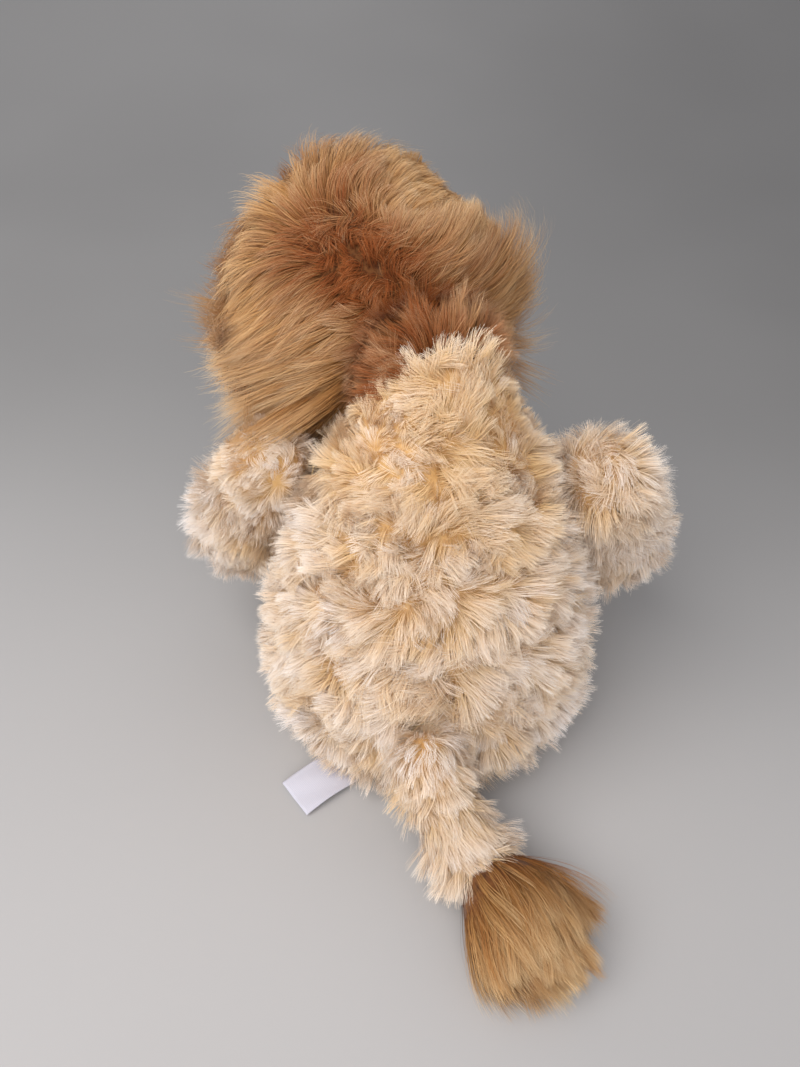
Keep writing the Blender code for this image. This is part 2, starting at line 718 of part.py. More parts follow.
    # Ears: an outer and an inner panel each, hinged where they are sewn on.
    for name, turn in (("left", EAR_SPREAD_DEG), ("right", -EAR_SPREAD_DEG)):
        out = circle_of(front, up, EAR_BACK_DEG, [math.radians(turn)])[0]
        facing = unit(front - out * (front @ out))
        wide = np.cross(out, facing)
        foot = HEAD_CENTRE + out * (float(head_radius(out[None])[0]) + MANE_PILE + 1.6)
        fold = foot + out * EAR_FOLD
        ear_pivot = add_pivot(f"ear_{name}_joint", fold)
        for layer, low, high, key in (
            ("outer", -3.2, -0.2, "ear_pile"), ("inner", 0.2, 2.6, "ear_inner"),
        ):
            shrink = 1.0 if layer == "outer" else 0.9
            grids = []
            for depth in (high, low):
                grid = []
                for s in np.linspace(0, 0.97, 7):
                    h = s * EAR_H * shrink
                    w = EAR_W * shrink * math.sqrt(max(0.0, 1 - ((s - 0.42) / 0.58) ** 2)) if s > 0.42 else EAR_W * shrink * (0.74 + 0.26 * s / 0.42)
                    row = []
                    for v in np.linspace(-1, 1, 6):
                        cup = 5.0 * (w * v / EAR_W) ** 2 * min(1.0, s * 2.5) + 2.0 * s
                        row.append(foot + out * h + wide * w * v + facing * (depth + cup))
                    grid.append(row)
                grids.append(np.asarray(grid))
            add_object(
                f"ear_{layer}_{name}", panel(*grids), MATERIALS[key], fold, ear_pivot
            )

    # Neck: the ball of stuffing and the ladder stitches round it.
    turn = np.linspace(0, 2 * math.pi, 18, endpoint=False)
    axis = to_neck
    side = unit(np.cross(axis, (0, 0, 1.0)))
    other = np.cross(axis, side)
    rings = []
    for a in np.linspace(-math.pi / 2, math.pi / 2, 11):
        r = 0.0 if abs(abs(a) - math.pi / 2) < 1e-9 else NECK_BALL_R * math.cos(a)
        circle = np.outer(np.cos(turn), side) + np.outer(np.sin(turn), other)
        rings.append(NECK + axis * NECK_BALL_R * math.sin(a) + circle * r)
    add_object("neck_stuffing", solid_of_rings(rings), MATERIALS["stuffing"], NECK, pivot)
    add_object(
        "neck_ladder_stitch",
        ring_solid(NECK, to_neck, NECK_THREAD_R, NECK_THREAD_TUBE, 26, 5),
        MATERIALS["thread"], NECK, pivot,
    )


# ---------------------------------------------------------------- label
def build_label():
    """A bare folded ribbon, sewn into the seam behind the lion's left hip."""
    root, end = np.asarray(LABEL_ROOT), np.asarray(LABEL_END)
    way = unit(end - root)
    wide = unit(np.cross((0, 0, 1.0), way))
    up = np.cross(way, wide)
    length = np.linalg.norm(end - root)
    grids = []
    for z in (LABEL_T, 0.0):
        grid = []
        for s in np.linspace(0, 1, 7):
            rise = 1.6 * math.sin(math.pi * s)
            grid.append(
                [root + way * length * s + wide * LABEL_W * v + up * (z + rise) for v in (-0.5, 0, 0.5)]
            )
        grids.append(np.asarray(grid))
    pivot = add_pivot("label_joint", root)
    add_object("seam_label", panel(*grids), MATERIALS["label"], root, pivot)


# ---------------------------------------------------------------- run
clear_scene()
MATERIALS = {
    key: material(name, colour, rough)
    for key, name, colour, rough in (
        ("back_pile", "Cream frosted pile, back left", (0.72, 0.55, 0.36), 0.9),
        ("back_pile_right", "Cream frosted pile, back right", (0.73, 0.57, 0.39), 0.9),
        ("belly_pile", "Cream frosted pile, belly", (0.75, 0.6, 0.42), 0.9),
        ("seat_cloth", "Cream knitted seat cloth", (0.7, 0.6, 0.46), 0.95),
        ("stuffing", "White polyester fill", (0.86, 0.86, 0.84), 1.0),
        ("pouch_cloth", "Unbleached pouch cloth", (0.78, 0.74, 0.66), 0.95),
        ("pellets", "White plastic pellets", (0.8, 0.8, 0.78), 0.5),
        ("arm_pile", "Cream frosted pile, arm outside", (0.74, 0.58, 0.4), 0.9),
        ("arm_pile_inner", "Cream frosted pile, arm inside", (0.7, 0.53, 0.36), 0.9),
        ("leg_pile", "Cream frosted pile, leg top", (0.74, 0.59, 0.41), 0.9),
        ("leg_pile_under", "Cream frosted pile, leg underside", (0.68, 0.53, 0.37), 0.9),
        ("sole", "Short tan velour", (0.55, 0.36, 0.19), 0.85),
        ("thread", "Cream sewing thread", (0.66, 0.52, 0.36), 0.7),
        ("tail_pile", "Cream frosted pile, tail", (0.73, 0.57, 0.38), 0.9),
        ("tuft_pile", "Caramel long pile, tail tuft", (0.42, 0.24, 0.1), 0.85),
        ("mane_pile", "Caramel long pile, mane left", (0.45, 0.25, 0.1), 0.85),
        ("mane_pile_right", "Caramel long pile, mane right", (0.42, 0.24, 0.1), 0.85),
        ("face_pile", "Cream short pile, face left", (0.76, 0.6, 0.4), 0.9),
        ("face_pile_right", "Cream short pile, face right", (0.76, 0.6, 0.4), 0.9),
        ("muzzle_pile", "Ivory short pile, muzzle", (0.82, 0.73, 0.6), 0.9),
        ("chin_pile", "Ivory short pile, chin", (0.8, 0.7, 0.56), 0.9),
        ("eye", "Black gloss plastic", (0.012, 0.01, 0.009), 0.08),
        ("washer", "White plastic washer", (0.75, 0.75, 0.73), 0.45),
        ("nose", "Brown velour nose", (0.1, 0.045, 0.025), 0.7),
        ("mouth", "Brown embroidery thread", (0.12, 0.06, 0.03), 0.6),
        ("ear_pile", "Caramel short pile, ear back", (0.48, 0.28, 0.12), 0.9),
        ("ear_inner", "Cream velour, ear inside", (0.74, 0.58, 0.42), 0.9),
        ("label", "White satin ribbon", (0.78, 0.78, 0.82), 0.35),
    )
}
ARM_OUT = (0.985, -0.02, 0.17)
LEG_OUT = (0.46, -0.888, 0.0)
build_torso()
build_limbs()
build_tail()
build_head()
build_label()
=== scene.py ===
"""Looks of a sitting plush lion: long caramel mane, cream frosted pile, tufted tail, bare ribbon label.

Lengths below are millimetres in the row's frame (+Z up, the lion faces -Y, its left is +X)
and become metres when a mesh is made.
"""

import math

import bmesh
import bpy
import numpy as np
from mathutils import Matrix, Vector
from mathutils.kdtree import KDTree


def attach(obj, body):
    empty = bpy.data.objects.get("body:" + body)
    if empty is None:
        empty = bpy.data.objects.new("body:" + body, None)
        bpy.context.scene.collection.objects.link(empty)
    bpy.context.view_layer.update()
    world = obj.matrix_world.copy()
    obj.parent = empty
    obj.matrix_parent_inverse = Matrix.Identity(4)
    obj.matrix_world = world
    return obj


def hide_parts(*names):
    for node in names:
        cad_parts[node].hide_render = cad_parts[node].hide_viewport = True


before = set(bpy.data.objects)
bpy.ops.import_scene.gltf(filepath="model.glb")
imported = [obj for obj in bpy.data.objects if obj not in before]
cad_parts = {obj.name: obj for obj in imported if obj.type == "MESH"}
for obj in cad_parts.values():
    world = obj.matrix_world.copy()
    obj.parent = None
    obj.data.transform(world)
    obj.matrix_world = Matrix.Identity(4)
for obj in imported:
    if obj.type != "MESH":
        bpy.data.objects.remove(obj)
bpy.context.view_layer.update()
MM = 0.001
TAU = 2 * math.pi

# ---------------------------------------------------------------- shape, as in the part
TORSO_RINGS = np.array([
    (0.0, 1.2, 63.0, 53.0, 0.0),
    (0.0, 9.0, 71.5, 59.5, 0.0),
    (0.0, 25.0, 77.5, 64.5, 0.0),
    (0.0, 55.0, 78.0, 66.5, 0.0),
    (-0.5, 88.0, 70.5, 61.0, 3.0),
    (-2.0, 118.0, 61.5, 53.0, 8.0),
    (-5.0, 144.0, 51.0, 44.5, 18.0),
    (-10.0, 165.0, 40.5, 36.5, 32.0),
    (-16.0, 180.0, 32.5, 30.5, 46.0),
    (-21.0, 187.5, 28.2, 28.0, 54.0),
])
NECK = np.array((2.0, -22.0, 190.0))
HEAD_CENTRE = np.array((33.0, -84.0, 203.5))
HEAD_HALF = (56.0, 53.0, 54.0)
HEAD_ROLL_DEG = 28.0
HEAD_FRONT = (0.087, -0.942, -0.324)
FACE_EDGE_DEG = 54.0
MUZZLE_DROP_DEG = 13.0
MUZZLE_EDGE_DEG = 24.0
MUZZLE_BULGE = 15.0
HEAD_HOLE_DEG = 31.0
EYE_R = 6.3
EAR_W, EAR_H = 14.5, 21.0
EAR_SPREAD_DEG, EAR_BACK_DEG = 46.0, 52.0
ARM_ROOT, ARM_TIP, ARM_R = (79.5, -13.0, 147.0), (102.0, -46.0, 86.0), (21.0, 27.0)
LEG_ROOT, LEG_TIP, LEG_R = (56.5, -83.5, 30.0), (78.0, -151.0, 31.8), (25.0, 31.0)
LIMB_SHELL = 5.0
TAIL_LINE = [
    (0.0, 88.6, 60.0), (-6.0, 94.0, 46.0), (-13.0, 100.5, 33.0),
    (-20.0, 107.5, 23.5), (-25.5, 113.5, 18.5), (-28.5, 117.0, 17.0),
]
TAIL_R = 15.0
TUFT_START, TUFT_END, TUFT_R = (-30.0, 119.0, 17.3), (-56.5, 158.5, 15.0), 19.0
LABEL_ROOT, LABEL_END, LABEL_W = (40.2, 54.3, 2.4), (65.0, 75.0, 1.3), 23.0

RNG = np.random.default_rng(20417)


def unit(v):
    v = np.asarray(v, float)
    return v / np.maximum(np.linalg.norm(v, axis=-1, keepdims=True), 1e-9)


def smooth(a, b, x):
    t = np.clip((x - a) / (b - a), 0, 1)
    return t * t * (3 - 2 * t)


# ---------------------------------------------------------------- noise
class Waves:
    """Smooth noise made of plane waves, for any number of points at once."""

    def __init__(self, seed, scale, channels=3, count=14):
        rng = np.random.default_rng(seed)
        self.way = unit(rng.normal(size=(count, 3))) * (
            TAU / scale * rng.uniform(0.6, 1.5, (count, 1))
        )
        self.phase = rng.uniform(0, TAU, (count, channels))
        self.weight = rng.normal(size=(count, channels)) * math.sqrt(2 / count)

    def __call__(self, p):
        angle = np.asarray(p) @ self.way.T
        out = np.zeros((len(p), self.phase.shape[1]))
        for k in range(len(self.way)):
            out += np.sin(angle[:, k : k + 1] + self.phase[k]) * self.weight[k]
        return out


# ---------------------------------------------------------------- surfaces
def torso_ring(t, grow, angles):
    at = np.asarray(t) * (len(TORSO_RINGS) - 1)
    k = range(len(TORSO_RINGS))
    cy, cz, rx, ry, tilt = (np.interp(at, k, TORSO_RINGS[:, i]) for i in range(5))
    tilt = np.radians(tilt)
    x = (rx + grow) * np.cos(angles)
    y = (ry + grow) * np.sin(angles)
    return np.stack([x, cy + y * np.cos(tilt), cz + y * np.sin(tilt)], axis=-1)


def limb_rings(root, tip, radii, grow, rows, angles, up):
    root, tip = np.asarray(root, float), np.asarray(tip, float)
    along = tip - root
    length = np.linalg.norm(along)
    along /= length
    side = unit(np.cross(along, up))
    top = np.cross(side, along)
    r0, r1 = radii[0] + grow, radii[1] + grow
    rings = []
    for s in rows:
        if s <= 1:
            a = math.pi / 2 * (1 - s)
            x, r = -r0 * math.sin(a), r0 * math.cos(a)
        elif s <= 2:
            x, r = length * (s - 1), r0 + (r1 - r0) * min(1.0, 1.12 * (s - 1) ** 1.5)
        else:
            a = math.pi / 2 * (s - 2)
            x, r = length + r1 * math.sin(a) * 0.92, r1 * math.cos(a)
        if s in (0, 3):
            r = 0.0
        circle = np.outer(np.cos(angles), side) + np.outer(np.sin(angles), top)
        rings.append(root + along * x + circle * r)
    return np.asarray(rings)


def smooth_line(points, steps):
    p = np.asarray(points, float)
    ends = np.vstack([2 * p[0] - p[1], p, 2 * p[-1] - p[-2]])
    out = []
    for u in np.linspace(0, len(p) - 1, steps):
        i = min(int(u), len(p) - 2)
        t = u - i
        a, b, c, d = ends[i : i + 4]
        out.append(
            0.5 * (2 * b + (c - a) * t + (2 * a - 5 * b + 4 * c - d) * t**2
                   + (3 * b - a - 3 * c + d) * t**3)
        )
    out = np.asarray(out)
    return out, unit(np.gradient(out, axis=0))


def head_axes():
    front = unit(HEAD_FRONT)
    up = unit(np.array((0, 0, 1.0)) - front * front[2])
    left = np.cross(up, front)
    roll = math.radians(HEAD_ROLL_DEG)
    return (
        math.cos(roll) * left - math.sin(roll) * up,
        front,
        math.cos(roll) * up + math.sin(roll) * left,
    )


LEFT, FRONT, UP = head_axes()
TO_NECK = unit(NECK - HEAD_CENTRE)


def circle_of(pole, zero, half_angle, turns):
    pole = unit(pole)
    a = unit(zero - pole * (zero @ pole))
    b = np.cross(pole, a)
    h = math.radians(half_angle)
    turns = np.asarray(turns)
    return math.cos(h) * pole + math.sin(h) * (
        np.outer(np.cos(turns), a) + np.outer(np.sin(turns), b)
    )


MUZZLE = circle_of(FRONT, UP, MUZZLE_DROP_DEG, [math.pi])[0]


def between(a, b, t):
    dot = np.clip((a * b).sum(-1, keepdims=True), -1, 1)
    w = np.arccos(dot)
    return (np.sin((1 - t) * w) * a + np.sin(t * w) * b) / np.sin(w)


def head_radius(d):
    a, b, c = HEAD_HALF
    r = 1 / np.sqrt((d @ LEFT / a) ** 2 + (d @ FRONT / b) ** 2 + (d @ UP / c) ** 2)
    away = np.degrees(np.arccos(np.clip(d @ MUZZLE, -1, 1)))
    share = np.clip((MUZZLE_EDGE_DEG + 5 - away) / (MUZZLE_EDGE_DEG + 5), 0, 1)
    return r + MUZZLE_BULGE * np.sin(share * math.pi / 2) ** 1.3


def head_point(d, grow=0.0):
    return HEAD_CENTRE + d * (head_radius(d) + grow)[..., None]


def torso_profile():
    """Tables by height of the torso's half width, its middle y and its half depth, for inside tests."""
    turn = np.linspace(0, TAU, 181)
    pts = np.concatenate([torso_ring(t, 0.0, turn) for t in np.linspace(0, 1, 140)])
    zs = np.arange(0, 212, 4.0)
    rows = []
    for z in zs:
        band = pts[np.abs(pts[:, 2] - z) < 4.0]
        if len(band) < 8:
            rows.append((1.0, -8.0, 1.0))
            continue
        rows.append((
            np.abs(band[:, 0]).max(),
            (band[:, 1].max() + band[:, 1].min()) / 2,
            (band[:, 1].max() - band[:, 1].min()) / 2,
        ))
    return zs, np.array(rows)


TORSO_Z, TORSO_TABLE = torso_profile()


def torso_share(p, grow=0.0):
    """Below 1 inside the torso grown by some millimetres, above 1 outside it."""
    z = p[:, 2]
    rx = np.interp(z, TORSO_Z, TORSO_TABLE[:, 0]) + grow
    cy = np.interp(z, TORSO_Z, TORSO_TABLE[:, 1])
    ry = np.interp(z, TORSO_Z, TORSO_TABLE[:, 2]) + grow
    return np.hypot(p[:, 0] / rx, (p[:, 1] - cy) / ry) + 10.0 * (z > 206 + grow)


# ---------------------------------------------------------------- meshes
def mesh_from(name, verts, faces, uv=None, normals=None, material=None):
    """A mesh from arrays in millimetres. faces is (n, 3) or (n, 4), and uv one pair for each face corner."""
    mesh = bpy.data.meshes.new(name)
    verts = np.asarray(verts, np.float32) * MM
    faces = np.asarray(faces, np.int32)
    n, k = faces.shape
    mesh.vertices.add(len(verts))
    mesh.vertices.foreach_set("co", verts.ravel())
    mesh.loops.add(n * k)
    mesh.loops.foreach_set("vertex_index", faces.ravel())
    mesh.polygons.add(n)
    mesh.polygons.foreach_set("loop_start", np.arange(0, n * k, k, dtype=np.int32))
    mesh.polygons.foreach_set("use_smooth", np.ones(n, bool))
    mesh.update(calc_edges=True)
    if uv is not None:
        layer = mesh.uv_layers.new(name="OFBake")
        layer.data.foreach_set("uv", np.asarray(uv, np.float32).ravel())
    if normals is not None:
        mesh.normals_split_custom_set_from_vertices(np.asarray(normals, np.float32))
    if material is not None:
        mesh.materials.append(material)
    obj = bpy.data.objects.new(name, mesh)
    bpy.context.scene.collection.objects.link(obj)
    return obj


def grid_faces(rows, cols, wrap=False):
    i, j = np.meshgrid(np.arange(rows - 1), np.arange(cols if wrap else cols - 1), indexing="ij")
    k = (j + 1) % cols
    return np.stack([i * cols + j, i * cols + k, (i + 1) * cols + k, (i + 1) * cols + j], -1).reshape(-1, 4)


def sheet_solid(name, outer, inner, material, wrap=False):
    """A closed skin between an outer and an inner grid of points, oriented outwards."""
    rows, cols = outer.shape[:2]
    verts = np.concatenate([outer.reshape(-1, 3), inner.reshape(-1, 3)])
    top = grid_faces(rows, cols, wrap)
    faces = [top, top[:, ::-1] + rows * cols]
    idx = np.arange(rows * cols).reshape(rows, cols)
    loops = [idx[0], idx[-1][::-1]]
    if not wrap:
        loops = [np.concatenate([idx[0], idx[1:, -1], idx[-1, -2::-1], idx[-2:0:-1, 0]])]
    else:
        loops = [idx[0], idx[-1][::-1]]
    for loop in loops:
        nxt = np.roll(loop, -1)
        faces.append(np.stack([nxt, loop, loop + rows * cols, nxt + rows * cols], -1))
    faces = np.concatenate(faces)
    obj = mesh_from(name, verts, faces, material=material)
    bm = bmesh.new()
    bm.from_mesh(obj.data)
    bmesh.ops.remove_doubles(bm, verts=bm.verts, dist=2e-6)
    bmesh.ops.recalc_face_normals(bm, faces=bm.faces)
    for f in bm.faces:
        f.smooth = True
    bm.to_mesh(obj.data)
    bm.free()
    return obj


def scatter(grid, density, rng, wrap=False):
    """Random points on a grid surface, at so many to the square millimetre, with their normals."""
    rows, cols = grid.shape[:2]
    flat = grid.reshape(-1, 3)
    quads = grid_faces(rows, cols, wrap)
    tris = np.concatenate([quads[:, [0, 1, 2]], quads[:, [0, 2, 3]]])
    a, b, c = (flat[tris[:, i]] for i in range(3))
    face_n = np.cross(b - a, c - a)
    area = np.linalg.norm(face_n, axis=1) / 2
    vn = np.zeros_like(flat)
    for i in range(3):
        np.add.at(vn, tris[:, i], face_n)
    vn = unit(vn)
    centre = flat.mean(axis=0)
    if ((flat - centre) * vn).sum() < 0:
        vn = -vn
    count = int(area.sum() * density)
    pick = rng.choice(len(tris), count, p=area / area.sum())
    u, v = rng.random((2, count))
    swap = u + v > 1
    u[swap], v[swap] = 1 - u[swap], 1 - v[swap]
    w = np.stack([1 - u - v, u, v], -1)[..., None]
    tri = tris[pick]
    return (flat[tri] * w).sum(1), unit((vn[tri] * w).sum(1))


# ---------------------------------------------------------------- pile
def tufts_of(p, spacing, rng):
    """For each root, the root that leads its tuft. Leaders stand about one spacing apart."""
    order = rng.permutation(len(p))
    shifted = p + rng.uniform(0, spacing, 3)
    keys = np.floor(shifted[order] / spacing).astype(np.int64)
    code = keys[:, 0] * 73856093 ^ keys[:, 1] * 19349663 ^ keys[:, 2] * 83492791
    _, first = np.unique(code, return_index=True)
    leaders = order[np.sort(first)]
    # leaders that crowd each other give way
    tree = KDTree(len(leaders))
    for j, i in enumerate(leaders):
        tree.insert(Vector(p[i]), j)
    tree.balance()
    alive = np.ones(len(leaders), bool)
    for j, i in enumerate(leaders):
        if alive[j]:
            for _, other, _ in tree.find_range(Vector(p[i]), spacing * 0.55):
                if other != j:
                    alive[other] = False
    leaders = leaders[alive]
    tree = KDTree(len(leaders))
    for j, i in enumerate(leaders):
        tree.insert(Vector(p[i]), j)
    tree.balance()
    return leaders, np.fromiter((tree.find(Vector(q))[1] for q in p), int, len(p))


def nn_of(n):
    return n[:, None, :]


def turned(t, n, angle):
    return t * np.cos(angle)[:, None] + np.cross(n, t) * np.sin(angle)[:, None]


def grow_pile(p, n, comb, rng, *, length, lean, big=9.0, small=3.2, big_pull=0.3, small_pull=0.55,
              big_fan=None, stack=0.0, skin_light=0.0, big_turn=0.45, big_lift=0.22, small_turn=0.25, small_lift=0.14, stray=0.1,
              droop=0.1, hug=0.0, curl=0.25, curl_wave=16.0, length_var=0.2, width=0.36, tip=0.15,
              steps=5, tone=None, seed=1, floor=0.35, noise_scale=45.0, noise_turn=0.5,
              tone_tuft=0.07, tone_own=0.07, avoid=None, bow=(0.6, 0.65)):
    """Makes pile as thin tapered blades that gather into small tufts within larger ones.

    p, n, comb are the roots, the skin's normals and the directions that the pile lies in.
    lean is the angle from the normal in degrees, and hug bends the ends back to the skin.
    Returns vertices, faces, UVs and normals. The UV's first number is the blade's tone and
    the second runs from root to tip.
    """
    count = len(p)
    length = np.broadcast_to(np.asarray(length, float), (count,)).copy()
    lean = np.radians(np.broadcast_to(np.asarray(lean, float), (count,)))
    droop = np.broadcast_to(np.asarray(droop, float), (count,))
    hug = np.broadcast_to(np.asarray(hug, float), (count,))
    big_pull = np.broadcast_to(np.asarray(big_pull, float), (count,))[:, None, None]
    lead_s, own_s = tufts_of(p, small, rng)
    lead_b, own_b = tufts_of(p[lead_s], big, rng)
    lead_b = lead_s[lead_b]
    own_b = own_b[own_s]
    gs, gb = lead_s[own_s], lead_b[own_b]
    waves = Waves(seed, noise_scale, 3)
    field = waves(p)
    t = comb + noise_turn * (field - n * (field * n).sum(1, keepdims=True))
    t = unit(t - n * (t * n).sum(1, keepdims=True))
    turn_b = rng.normal(0, big_turn, len(lead_b))[own_b]
    lift_b = rng.normal(0, big_lift, len(lead_b))[own_b]
    turn_s = rng.normal(0, small_turn, len(lead_s))[own_s]
    lift_s = rng.normal(0, small_lift, len(lead_s))[own_s]
    size = rng.uniform(1 - length_var, 1 + length_var * 0.6, len(lead_b))[own_b]
    size = size * rng.uniform(1 - length_var * 0.6, 1 + length_var * 0.4, len(lead_s))[own_s]
    own = rng.normal(0, 1, (count, 5))

    def to_skin(v, normal):
        return unit(v - normal * (v * normal).sum(1, keepdims=True))

    t_b = to_skin(turned(t, n, turn_b)[gb], n)
    t_s = to_skin(turned(t, n, turn_b + turn_s)[gs], n)
    t_own = turned(t, n, turn_b + turn_s + own[:, 0] * stray * 2)
    way = to_skin(t_b * 0.25 + t_s * 0.4 + t_own * 0.35, n)
    lean = np.clip(lean + lift_b + lift_s + own[:, 1] * stray, 0.02, 1.55)
    length = length * size * (1 + np.clip(own[:, 2], -2, 1.5) * 0.09)
    side = np.cross(n, way)
    s = np.linspace(0, 1, steps + 1)
    pts = np.empty((count, steps + 1, 3))
    pts[:, 0] = p
    phase = rng.uniform(0, TAU, len(lead_s))[own_s] + own[:, 3] * 0.4
    down = np.array((0.0, 0.0, -1.0))
    for k in range(1, steps + 1):
        mid = (s[k] + s[k - 1]) / 2
        ang = lean * (bow[0] + bow[1] * mid) + hug * mid * mid
        d = n * np.cos(ang)[:, None] + way * np.sin(ang)[:, None] + down * (droop * mid * 1.5)[:, None]
        wave = np.sin(phase + mid * length * TAU / curl_wave) * curl
        wave2 = np.cos(phase * 1.7 + mid * length * TAU / curl_wave * 0.8) * curl * 0.6
        d = unit(d + side * wave[:, None] + n * wave2[:, None])
        pts[:, k] = pts[:, k - 1] + d * (length / steps)[:, None]
    # gather towards the small tuft's leader, and that towards the large tuft's leader
    bend = (s[None, :, None]) ** 1.25
    off_s = (p - p[gs])[:, None, :]
    off_b = (p[gs] - p[gb])[:, None, :]
    follow = pts[gs] + off_s
    pts = pts + (follow - pts) * (0.45 * bend)
    pts = pts - off_s * (small_pull * bend)
    if big_fan is None:
        pts = pts - off_b * (big_pull * bend)
    else:
        # a brush: ends line up along the lie, and fan out across it
        w = way[:, None, :]
        along = (off_b * w).sum(-1, keepdims=True)
        pts = pts - w * (along * big_pull * bend) - (off_b - w * along) * (big_fan * bend)
        pts = pts - nn_of(n) * (np.clip(along, -big, big) * stack * bend)
    if avoid is not None:
        pts = avoid(pts)
    pts[..., 2] = np.maximum(pts[..., 2], floor + 0.6 * s[None, :] * rng.random((count, 1)))
    # blades
    d = unit(np.gradient(pts, axis=1))
    nn = n[:, None, :]
    across = np.cross(d, nn)
    weak = np.linalg.norm(across, axis=-1, keepdims=True) < 0.2
    across = unit(np.where(weak, np.broadcast_to(side[:, None, :], d.shape), across))
    across = unit(across - d * (across * d).sum(-1, keepdims=True))
    face = np.cross(across, d)
    flip = (face * nn).sum(-1, keepdims=True) < 0
    across = np.where(flip, -across, across)
    face = np.where(flip, -face, face)
    twist = rng.uniform(-0.75, 0.75, count)[:, None, None]
    across = across * np.cos(twist) + face * np.sin(twist)
    face = unit(np.cross(across, d))
    half = (width / 2) * (tip + (1 - tip) * (1 - s**2.4))
    half = half[None, :, None] * rng.uniform(0.75, 1.25, count)[:, None, None]
    verts = np.stack([pts - across * half, pts + across * half], axis=2)
    flat = np.clip((face * nn).sum(-1, keepdims=True), 0, 1) ** 2
    soft = unit(face + nn * flat * skin_light)
    normals = np.stack([unit(soft - across * 0.55), unit(soft + across * 0.55)], axis=2)
    base = (np.arange(count) * (steps + 1) * 2)[:, None]
    k = np.arange(steps)[None, :] * 2
    quads = np.stack([base + k, base + k + 1, base + k + 3, base + k + 2], -1)
    e1, e2 = verts[:, 0, 1] - verts[:, 0, 0], verts[:, 1, 0] - verts[:, 0, 0]
    wrong = (np.cross(e1, e2) * face[:, 0]).sum(-1) < 0
    quads[wrong] = quads[wrong][:, :, ::-1]
    if tone is None:
        tone = np.full(count, 0.5)
    u = tone + rng.normal(0, tone_tuft, len(lead_b))[own_b] + own[:, 4] * tone_own
    u = np.clip(u + rng.normal(0, tone_tuft * 0.6, len(lead_s))[own_s], 0.03, 0.97)
    uv_v = np.stack([
        np.broadcast_to(u[:, None] - 0.006, (count, steps + 1)),
        np.broadcast_to(0.02 + 0.96 * s[None, :], (count, steps + 1)),
    ], -1)
    uv = np.stack([uv_v, uv_v + np.array((0.012, 0.0))], axis=2).reshape(-1, 2)
    return verts.reshape(-1, 3), quads.reshape(-1, 4), uv, normals.reshape(-1, 3)


MOST_FACES = 90000  # quads in one piece of pile


def pile_objects(names, p, n, comb, groups, materials, body, rng, **kw):
    """Grows one coat of pile and splits it into named pieces, one or more for each group."""
    verts, quads, uv, normals = grow_pile(p, n, comb, rng, **kw)
    steps = kw.get("steps", 5)
    per_v, per_f = (steps + 1) * 2, steps
    out = []
    for g, (name, mat) in enumerate(zip(names, materials)):
        rows = np.nonzero(groups == g)[0]
        if not len(rows):
            continue
        parts = max(1, math.ceil(len(rows) * steps / MOST_FACES))
        for i, chunk in enumerate(np.array_split(rows, parts)):
            vi = (chunk[:, None] * per_v + np.arange(per_v)).ravel()
            fi = (chunk[:, None] * per_f + np.arange(per_f)).ravel()
            shift = ((np.arange(len(chunk)) - chunk) * per_v).repeat(per_f)[:, None]
            faces = quads[fi] + shift
            title = name if parts == 1 else f"{name}_{i + 1}"
            obj = mesh_from(title, verts[vi], faces, uv[vi][faces.ravel()], normals[vi], mat)
            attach(obj, body)
            out.append(obj)
    return out


# ---------------------------------------------------------------- materials
def new_material(name, roughness=0.85, sheen=0.0, coat=0.0):
    mat = bpy.data.materials.new(name)
    mat.use_nodes = True
    shader = mat.node_tree.nodes["Principled BSDF"]
    shader.inputs["Roughness"].default_value = roughness
    shader.inputs["Sheen Weight"].default_value = sheen
    shader.inputs["Sheen Roughness"].default_value = 0.5
    shader.inputs["Specular IOR Level"].default_value = 0.15
    if coat:
        shader.inputs["Coat Weight"].default_value = coat
    return mat, mat.node_tree, shader


def srgb(text):
    text = text.lstrip("#")
    out = []
    for i in (0, 2, 4):
        c = int(text[i : i + 2], 16) / 255
        out.append(c / 12.92 if c <= 0.04045 else ((c + 0.055) / 1.055) ** 2.4)
    return (*out, 1.0)


def ramp(tree, stops):
    node = tree.nodes.new("ShaderNodeValToRGB")
    node.color_ramp.interpolation = "EASE"
    while len(node.color_ramp.elements) > 1:
        node.color_ramp.elements.remove(node.color_ramp.elements[-1])
    for i, (at, colour) in enumerate(stops):
        e = node.color_ramp.elements[0] if i == 0 else node.color_ramp.elements.new(at)
        e.position = at
        e.color = srgb(colour)
    return node


def pile_material(name, low, high, roughness=0.75, sheen=0.25):
    """Pile coloured from root to tip, between a low tone and a high tone."""
    mat, tree, shader = new_material(name, roughness, sheen)
    uvmap = tree.nodes.new("ShaderNodeUVMap")
    uvmap.uv_map = "OFBake"
    split = tree.nodes.new("ShaderNodeSeparateXYZ")
    tree.links.new(uvmap.outputs["UV"], split.inputs[0])
    a, b = ramp(tree, low), ramp(tree, high)
    tree.links.new(split.outputs["Y"], a.inputs["Fac"])
    tree.links.new(split.outputs["Y"], b.inputs["Fac"])
    mix = tree.nodes.new("ShaderNodeMix")
    mix.data_type = "RGBA"
    tree.links.new(split.outputs["X"], mix.inputs["Factor"])
    tree.links.new(a.outputs["Color"], mix.inputs[6])
    tree.links.new(b.outputs["Color"], mix.inputs[7])
    tree.links.new(mix.outputs[2], shader.inputs["Base Color"])
    return mat


